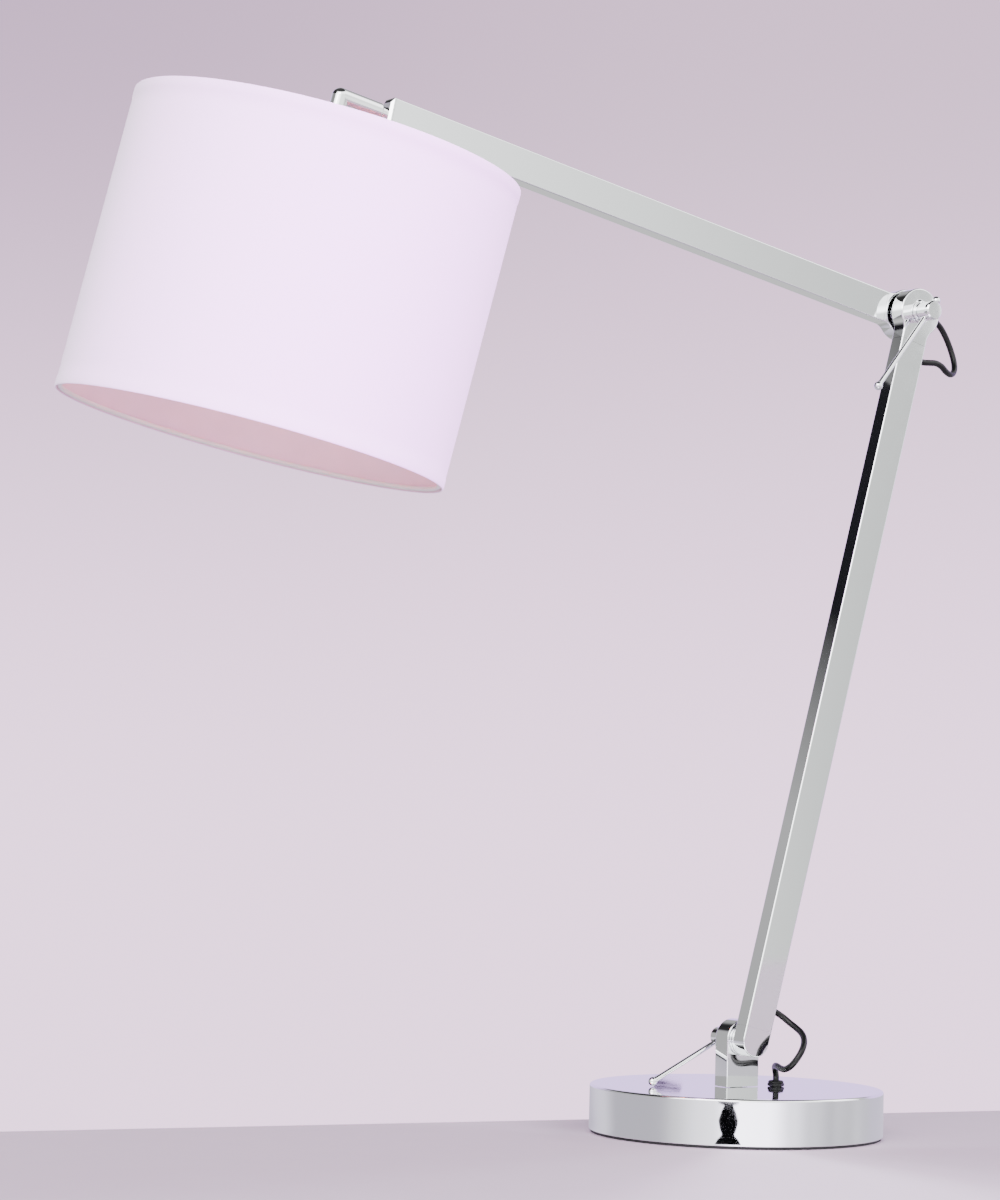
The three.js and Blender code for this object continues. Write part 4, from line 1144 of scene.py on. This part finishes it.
bulb = {
    "capTop": -66.6,
    "capLong": 26,
    "turns": 6,
    "pitch": 3.0,
    "thread": (12.3, 13.2),
    "neck": 14.5,
    "radius": 30.0,
    "length": 82,
    "wall": 1,
}


def bulbPieces():
    top = bulb["capTop"]
    capEnd = top - bulb["capLong"]
    root, crest = bulb["thread"]
    profile = [(0, top), (4.2, top), (4.6, top - 1.6), (9.5, top - 3.2), (12.4, top - 4.6)]
    for k in range(bulb["turns"]):
        z = top - 5.4 - bulb["pitch"] * k
        profile += [(root, z), (crest, z - 0.9), (crest, z - 1.6), (root, z - 2.4)]
    profile += [(12.9, capEnd + 1.2), (12.9, capEnd), (0, capEnd)]
    cap = turnPiece("bulbCap", profile, radius=0.3, segments=64, closed=False)
    headPiece(cap, nickel, "bulb_steel", "bulb_cap")

    neck, r, wall = bulb["neck"], bulb["radius"], bulb["wall"]
    top = capEnd - 0.3
    centre = top - bulb["length"] + r
    flare = ((0, 0), (0, 7), (1.1, 13), (4.2, 22), (9.4, 31))
    outer = [(neck + out, top - down) for out, down in flare] + arcPoints(0, centre, r, 20, -90, 22)
    inner = arcPoints(0, centre, r - wall, -90, 20, 22)
    inner += [(neck - wall + out, top - down) for out, down in reversed(flare)]
    glass = turnPiece("bulbGlass", outer + inner, radius=0, segments=96)
    headPiece(glass, bulbGlass, "bulb_glass", "bulb_glass", angle=60)


holderPieces()
carrierPieces()
shadeDrum()
bulbPieces()
print("head made")

# CAD pieces that stay, with their own finishes
kept = {
    zinc: ["base_cover", "cover_screw_1", "cover_screw_2", "cover_screw_3", "post_screw", "post_washer"],
    iron: ["ballast_plate"],
    nylon: ["gland_locknut"],
    porcelain: ["terminal_block"],
    brass: ["holder_contact"],
}
for material, names in kept.items():
    for name in names:
        node = bpy.data.objects[name]
        node.data.materials.clear()
        node.data.materials.append(material)

# stage and light
stage = {
    "table": ("CAB3C9", "CEB8CD"),
    "grainMm": 40,
    "edge": 0.115,
    "edgeTurn": -7.94,
    "width": 3.6,
    "depth": 2.4,
    "thick": 0.03,
}


def tableTop():
    # its top is a hair under the pad
    size = [stage[k] / mm for k in ("width", "depth", "thick")]
    obj = boxPiece("tableTop", size, (0, -size[1] / 2, -size[2] / 2 - 0.1))
    turn = math.radians(stage["edgeTurn"])
    normal = Vector((-math.sin(turn), math.cos(turn), 0))
    obj.matrix_world = Matrix.Translation(normal * stage["edge"]) @ Matrix.Rotation(turn, 4, "Z")
    bpy.ops.object.transform_apply(location=True, rotation=True, scale=True)
    material, tree, shader, spot = startMaterial("paintedTable")
    grain = noiseOf(tree, spot, stage["grainMm"], 3.0)
    tree.links.new(tinted(tree, *stage["table"], grain), shader.inputs["Base Color"])
    shader.inputs["Roughness"].default_value = 0.55
    obj.data.materials.append(material)


tableTop()


def softBox(name, place, lookAt, size, power, colour):
    deselectAll()
    bpy.ops.object.light_add(type="AREA", location=place)
    lamp = nameActive(name)
    lamp.data.shape = "RECTANGLE"
    lamp.data.size = size[0]
    lamp.data.size_y = size[1]
    lamp.data.energy = power
    lamp.data.color = hexColour(colour)[:3]
    lamp.rotation_mode = "QUATERNION"
    lamp.rotation_quaternion = (Vector(place) - Vector(lookAt)).to_track_quat("Z", "Y")
    return lamp


# two white boxes, and a soft lavender one that falls on the shade alone
boxes = {
    "keyBox": {
        "place": (-2.2, -1.6, 2.3), "lookAt": (0, 0, 0.3),
        "size": (1.8, 1.8), "power": 60, "colour": "FFFAFC",
    },
    "fillBox": {
        "place": (2.4, -1.5, 1.2), "lookAt": (0, 0, 0.3),
        "size": (1.6, 2.0), "power": 24, "colour": "FBF8FF",
    },
    "shadeBox": {
        "place": (-0.9, -2.8, 0.7), "lookAt": (-0.4, 0, 0.5),
        "size": (1.1, 1.1), "power": 330, "colour": "EA7FFF",
    },
}
for name, box in boxes.items():
    shadeLight = softBox(name, **box)
onlyShade = bpy.data.collections.new("litByShadeBox")
onlyShade.objects.link(bpy.data.objects["shadeDrum"])
shadeLight.light_linking.receiver_collection = onlyShade

# a bulb's warm light inside the shade
bulbLight = {"along": -0.145, "watts": 1.6, "radius": 0.03, "colour": "FF8F78"}
deselectAll()
bpy.ops.object.light_add(type="POINT", location=shadeFrame @ Vector((0, 0, bulbLight["along"])))
glowLamp = nameActive("bulbGlow")
glowLamp.data.energy = bulbLight["watts"]
glowLamp.data.shadow_soft_size = bulbLight["radius"]
glowLamp.data.color = hexColour(bulbLight["colour"])[:3]

# a ring round the base on the table, seen only in mirrors: its glowing light and dark bands are painted
# reflections on the base's bright side
sheen = {
    "inner": 0.1012,
    "outer": 0.7,
    "height": 0.0006,
    "steps": 96,
    "turnBack": 232.6,  # where the camera stands, about the lamp
    # degrees on the rim from there, and how bright
    "bands": (
        (-180, 0.7), (-90, 0.7), (-66, 1.25), (-54, 0.7), (-24, 0.65), (-13, 1.3), (-9, 1.5), (1, 5.0),
        (12, 5.0), (22, 2.0), (30, 1.0), (42, 0.6), (50, 0.5), (60, 0.8), (90, 0.9), (180, 0.7),
    ),
    "tint": (0.98, 0.93, 1.08),
}


def mirrorOnly(obj):
    # seen in reflections, and by nothing else
    obj.visible_camera = False
    obj.visible_diffuse = False
    obj.visible_shadow = False
    obj.visible_transmission = False


def tableSheen():
    inner, back = sheen["inner"], math.radians(sheen["turnBack"])
    deselectAll()
    bpy.ops.mesh.primitive_circle_add(vertices=sheen["steps"], radius=inner, location=(0, 0, sheen["height"]))
    obj = nameActive("tableSheen")
    editMode()
    bpy.ops.mesh.extrude_region_move()
    big = sheen["outer"] / inner
    bpy.ops.transform.resize(value=(big, big, 1), center_override=(0, 0, 0))
    objectMode()
    bpy.ops.object.transform_apply(location=True, rotation=True, scale=True)
    material, tree, shader, spot = startMaterial("sheenFace")

    def alongLine(line):
        node = addNode(tree, "ShaderNodeVectorMath", {1: line}, {0: spot}, operation="DOT_PRODUCT")
        return node.outputs["Value"]

    along = alongLine((math.cos(back), math.sin(back), 0))
    across = alongLine((-math.sin(back), math.cos(back), 0))
    turn = mathOf(tree, "ARCTAN2", across, along)
    # a ray that leaves the rim at an angle lands at up to twice that angle, the farther out the nearer twice
    far = addNode(tree, "ShaderNodeVectorMath", {}, {0: spot}, operation="LENGTH").outputs["Value"]
    fold = mathOf(tree, "SUBTRACT", 2.0, mathOf(tree, "DIVIDE", base["radius"] * mm, far))
    share = spread(tree, mathOf(tree, "DIVIDE", turn, fold), 0.0, 1.0, -math.pi, math.pi)
    bands = addNode(tree, "ShaderNodeValToRGB", links={"Fac": share})
    ramp = bands.color_ramp
    ramp.interpolation = "EASE"
    top = max(value for _, value in sheen["bands"])
    while len(ramp.elements) > 1:
        ramp.elements.remove(ramp.elements[-1])
    for k, (degrees, value) in enumerate(sheen["bands"]):
        place = (degrees + 180) / 360
        stop = ramp.elements[0] if k == 0 else ramp.elements.new(place)
        stop.position = place
        stop.color = (*(value / top * part for part in sheen["tint"]), 1)
    shader.inputs["Base Color"].default_value = (0, 0, 0, 1)
    # the bands glow: they paint the reflections seen in the base's side
    tree.links.new(bands.outputs["Color"], shader.inputs["Emission Color"])
    shader.inputs["Emission Strength"].default_value = top
    obj.data.materials.append(material)
    mirrorOnly(obj)


def dullFace(obj, colour):
    # matt, with no gloss at all
    material, tree, shader, spot = startMaterial(obj.name + "Face")
    shader.inputs["Base Color"].default_value = hexColour(colour)
    shader.inputs["Roughness"].default_value = 1.0
    shader.inputs["Specular IOR Level"].default_value = 0.0
    obj.data.materials.append(material)
    mirrorOnly(obj)
    return tree, shader, spot


def darkCard(name, outline, place):
    # a flat black card cut to an outline in its own x and y, in metres
    obj = drawChain(name, [(x, y, 0) for x, y in outline])
    bpy.ops.mesh.select_all(action="SELECT")
    bpy.ops.mesh.edge_face_add()
    objectMode()
    obj.matrix_world = place
    bpy.ops.object.transform_apply(location=True, rotation=True, scale=True)
    dullFace(obj, "020203")


tableSheen()
# a flat black card on the table, seen only in mirrors, paints the dark reflection of a stand beside the
# camera on the base's rim: height on the rim, where it shows, against its half width there
stand = {
    "centre": -4.8,
    "halves": (
        (1.8, 8.8), (5.0, 7.0), (8.5, 4.0), (12.0, 5.4), (18.0, 6.6), (24.5, 4.7), (28.0, 2.8), (30.2, 7.0),
        (31.5, 7.2),
    ),
    "cameraHeight": 225.0,
    "cameraAway": 2160.0,
}


def onTable(across, height):
    # where the ray that the rim mirrors at this place lands on the table, in metres
    turn = math.asin(across / base["radius"])
    reach = height * stand["cameraAway"] / (stand["cameraHeight"] - height)
    back = math.radians(sheen["turnBack"])
    x = base["radius"] * math.cos(back + turn) + reach * math.cos(back + 2 * turn)
    y = base["radius"] * math.sin(back + turn) + reach * math.sin(back + 2 * turn)
    return x * mm, y * mm


standOutline = [onTable(stand["centre"] - half, height) for height, half in stand["halves"]]
standOutline += [onTable(stand["centre"] + half, height) for height, half in reversed(stand["halves"])]
# this black card paints the stand's dark reflection on the base's rim
darkCard("standShadow", standOutline, shift(0, 0, 1.2))
# a small black flag behind the lamp, seen only in mirrors: it paints a dark wedge of reflection on the base's
# top beside the ball
wedge = {
    "outline": ((-0.0155, 0.0075), (0.0125, 0.0075), (0.0165, 0.001), (-0.006, -0.0075), (-0.013, -0.0075)),
    "place": (0.673, 0.998, 0.136),
    "turn": -33.2,
}
wedgePlace = Matrix.Translation(wedge["place"]) @ spinAbout("Z", wedge["turn"]) @ spinAbout("X", 90)
darkCard("wedgeFlag", wedge["outline"], wedgePlace)


def softFlag(name, place, size, fade):
    # a tall dark flag at the back left, soft at its lower edge, seen only in mirrors: it paints dark
    # reflections on the elbow and the lower arm
    deselectAll()
    bpy.ops.mesh.primitive_plane_add(size=1)
    obj = nameActive(name)
    upright = spinAbout("Z", 37) @ spinAbout("X", 90)
    obj.matrix_world = Matrix.Translation(place) @ upright @ Matrix.Diagonal((*size, 1, 1))
    bpy.ops.object.transform_apply(location=True, rotation=True, scale=True)
    tree, shader, spot = dullFace(obj, "18181B")
    split = addNode(tree, "ShaderNodeSeparateXYZ", links={"Vector": spot})
    cover = spread(tree, split.outputs["Z"], 0.0, 1.0, *fade)
    tree.links.new(cover, shader.inputs["Alpha"])


softFlag("elbowFlag", (-0.2, 0.44, 0.57), (0.26, 0.42), (0.37, 0.56))

room = {
    "wallLow": "FFD9FC",
    "wallHigh": "BFA3BC",
    "wallLeft": "AB90AB",
    "wallGlow": 2.4,
    "wallMirrored": "DDBFFF",
    "front": "EEF1EF",
    "frontGlow": 2.9,
    "leftBox": 7.0,
    "above": 4.2,
    "dark": 0.035,
    "ceiling": 0.08,
    "floor": 0.6,
    "gap": 0.9,
    "farLeft": 0.62,
    "farRight": 0.55,
    "frontDim": 1.15,
    # between which two x, y or z of a ray's direction each change is made
    "atWallHigh": (-0.02, 0.24),
    "atWallLeft": (0.62, 0.40),
    "atFarLeft": (0.2, -0.5),
    "atFarRight": (-0.1, 0.25),
    "atWallTop": (0.36, 0.48),
    "atGap": (-0.1, -0.36),
    "atFloor": (-0.42, -0.62),
    "atFrontDim": (0.44, 0.68),
    "atLeftBox": (-0.2, -0.5),
    "atLeftBoxFoot": (0.1, 0.3),
    "atAbove": (0.35, 0.62),
    "atBehind": (-0.12, 0.12),
    "atCeiling": (0.76, 0.84),
}


def studioWorld():
    # a lit wall of limited height behind the lamp, dark above it and under the table, a grey studio in front
    world = bpy.data.worlds.new("studio")
    bpy.context.scene.world = world
    world.use_nodes = True
    tree = world.node_tree
    tree.nodes.clear()
    coords = addNode(tree, "ShaderNodeTexCoord")
    split = addNode(tree, "ShaderNodeSeparateXYZ", links={"Vector": coords.outputs["Generated"]})
    x, y, z = (split.outputs[k] for k in ("X", "Y", "Z"))

    def ramp(source, low, high):
        values = {"From Min": low, "From Max": high, "To Min": 0.0, "To Max": 1.0}
        node = addNode(
            tree, "ShaderNodeMapRange", values, {"Value": source}, interpolation_type="SMOOTHSTEP"
        )
        return node.outputs["Result"]

    def mixed(share, a, b):
        node = addNode(tree, "ShaderNodeMix", data_type="RGBA")
        tree.links.new(share, node.inputs["Factor"])
        for key, value in (("A", a), ("B", b)):
            if isinstance(value, tuple):
                node.inputs[key].default_value = value
            else:
                tree.links.new(value, node.inputs[key])
        return node.outputs["Result"]

    def grey(value):
        return (value, value, value, 1.0)

    def scaled(text, value):
        return tuple(c * value for c in hexColour(text)[:3]) + (1.0,)

    glow = room["wallGlow"]
    climb = ramp(z, *room["atWallHigh"])
    leftward = ramp(x, *room["atWallLeft"])
    high = mixed(leftward, scaled(room["wallHigh"], glow), scaled(room["wallLeft"], glow))
    wall = mixed(climb, scaled(room["wallLow"], glow), high)
    seen = addNode(tree, "ShaderNodeBackground", {"Strength": 1.0}, {"Color": wall})
    # mirrored: the wall is dimmer far to the left, stops at about 20 degrees and has a grey gap under it
    mirroredWall = scaled(room["wallMirrored"], glow)
    lit = mixed(ramp(x, *room["atFarLeft"]), mirroredWall, grey(room["farLeft"]))
    above = mixed(ramp(x, *room["atFarRight"]), grey(room["dark"]), grey(room["farRight"]))
    topped = mixed(ramp(z, *room["atWallTop"]), lit, above)
    gap = mixed(ramp(z, *room["atGap"]), topped, grey(room["gap"]))
    behind = mixed(ramp(z, *room["atFloor"]), gap, grey(room["floor"]))
    bright, dim = scaled(room["front"], room["frontGlow"]), scaled(room["front"], room["frontDim"])
    front = mixed(ramp(x, *room["atFrontDim"]), bright, dim)
    atLeft = mathOf(tree, "MULTIPLY", ramp(x, *room["atLeftBox"]), ramp(z, *room["atLeftBoxFoot"]))
    side = mixed(atLeft, front, grey(room["leftBox"]))
    overhead = mixed(ramp(z, *room["atAbove"]), side, grey(room["above"]))
    turned = mixed(ramp(y, *room["atBehind"]), overhead, behind)
    capped = mixed(ramp(z, *room["atCeiling"]), turned, grey(room["ceiling"]))
    mirrored = addNode(tree, "ShaderNodeBackground", {"Strength": 1.0}, {"Color": capped})
    ray = addNode(tree, "ShaderNodeLightPath")
    both = addNode(
        tree,
        "ShaderNodeMixShader",
        links={0: ray.outputs["Is Camera Ray"], 1: mirrored.outputs[0], 2: seen.outputs[0]},
    )
    addNode(tree, "ShaderNodeOutputWorld", links={"Surface": both.outputs[0]})


studioWorld()
print("stage and light set")
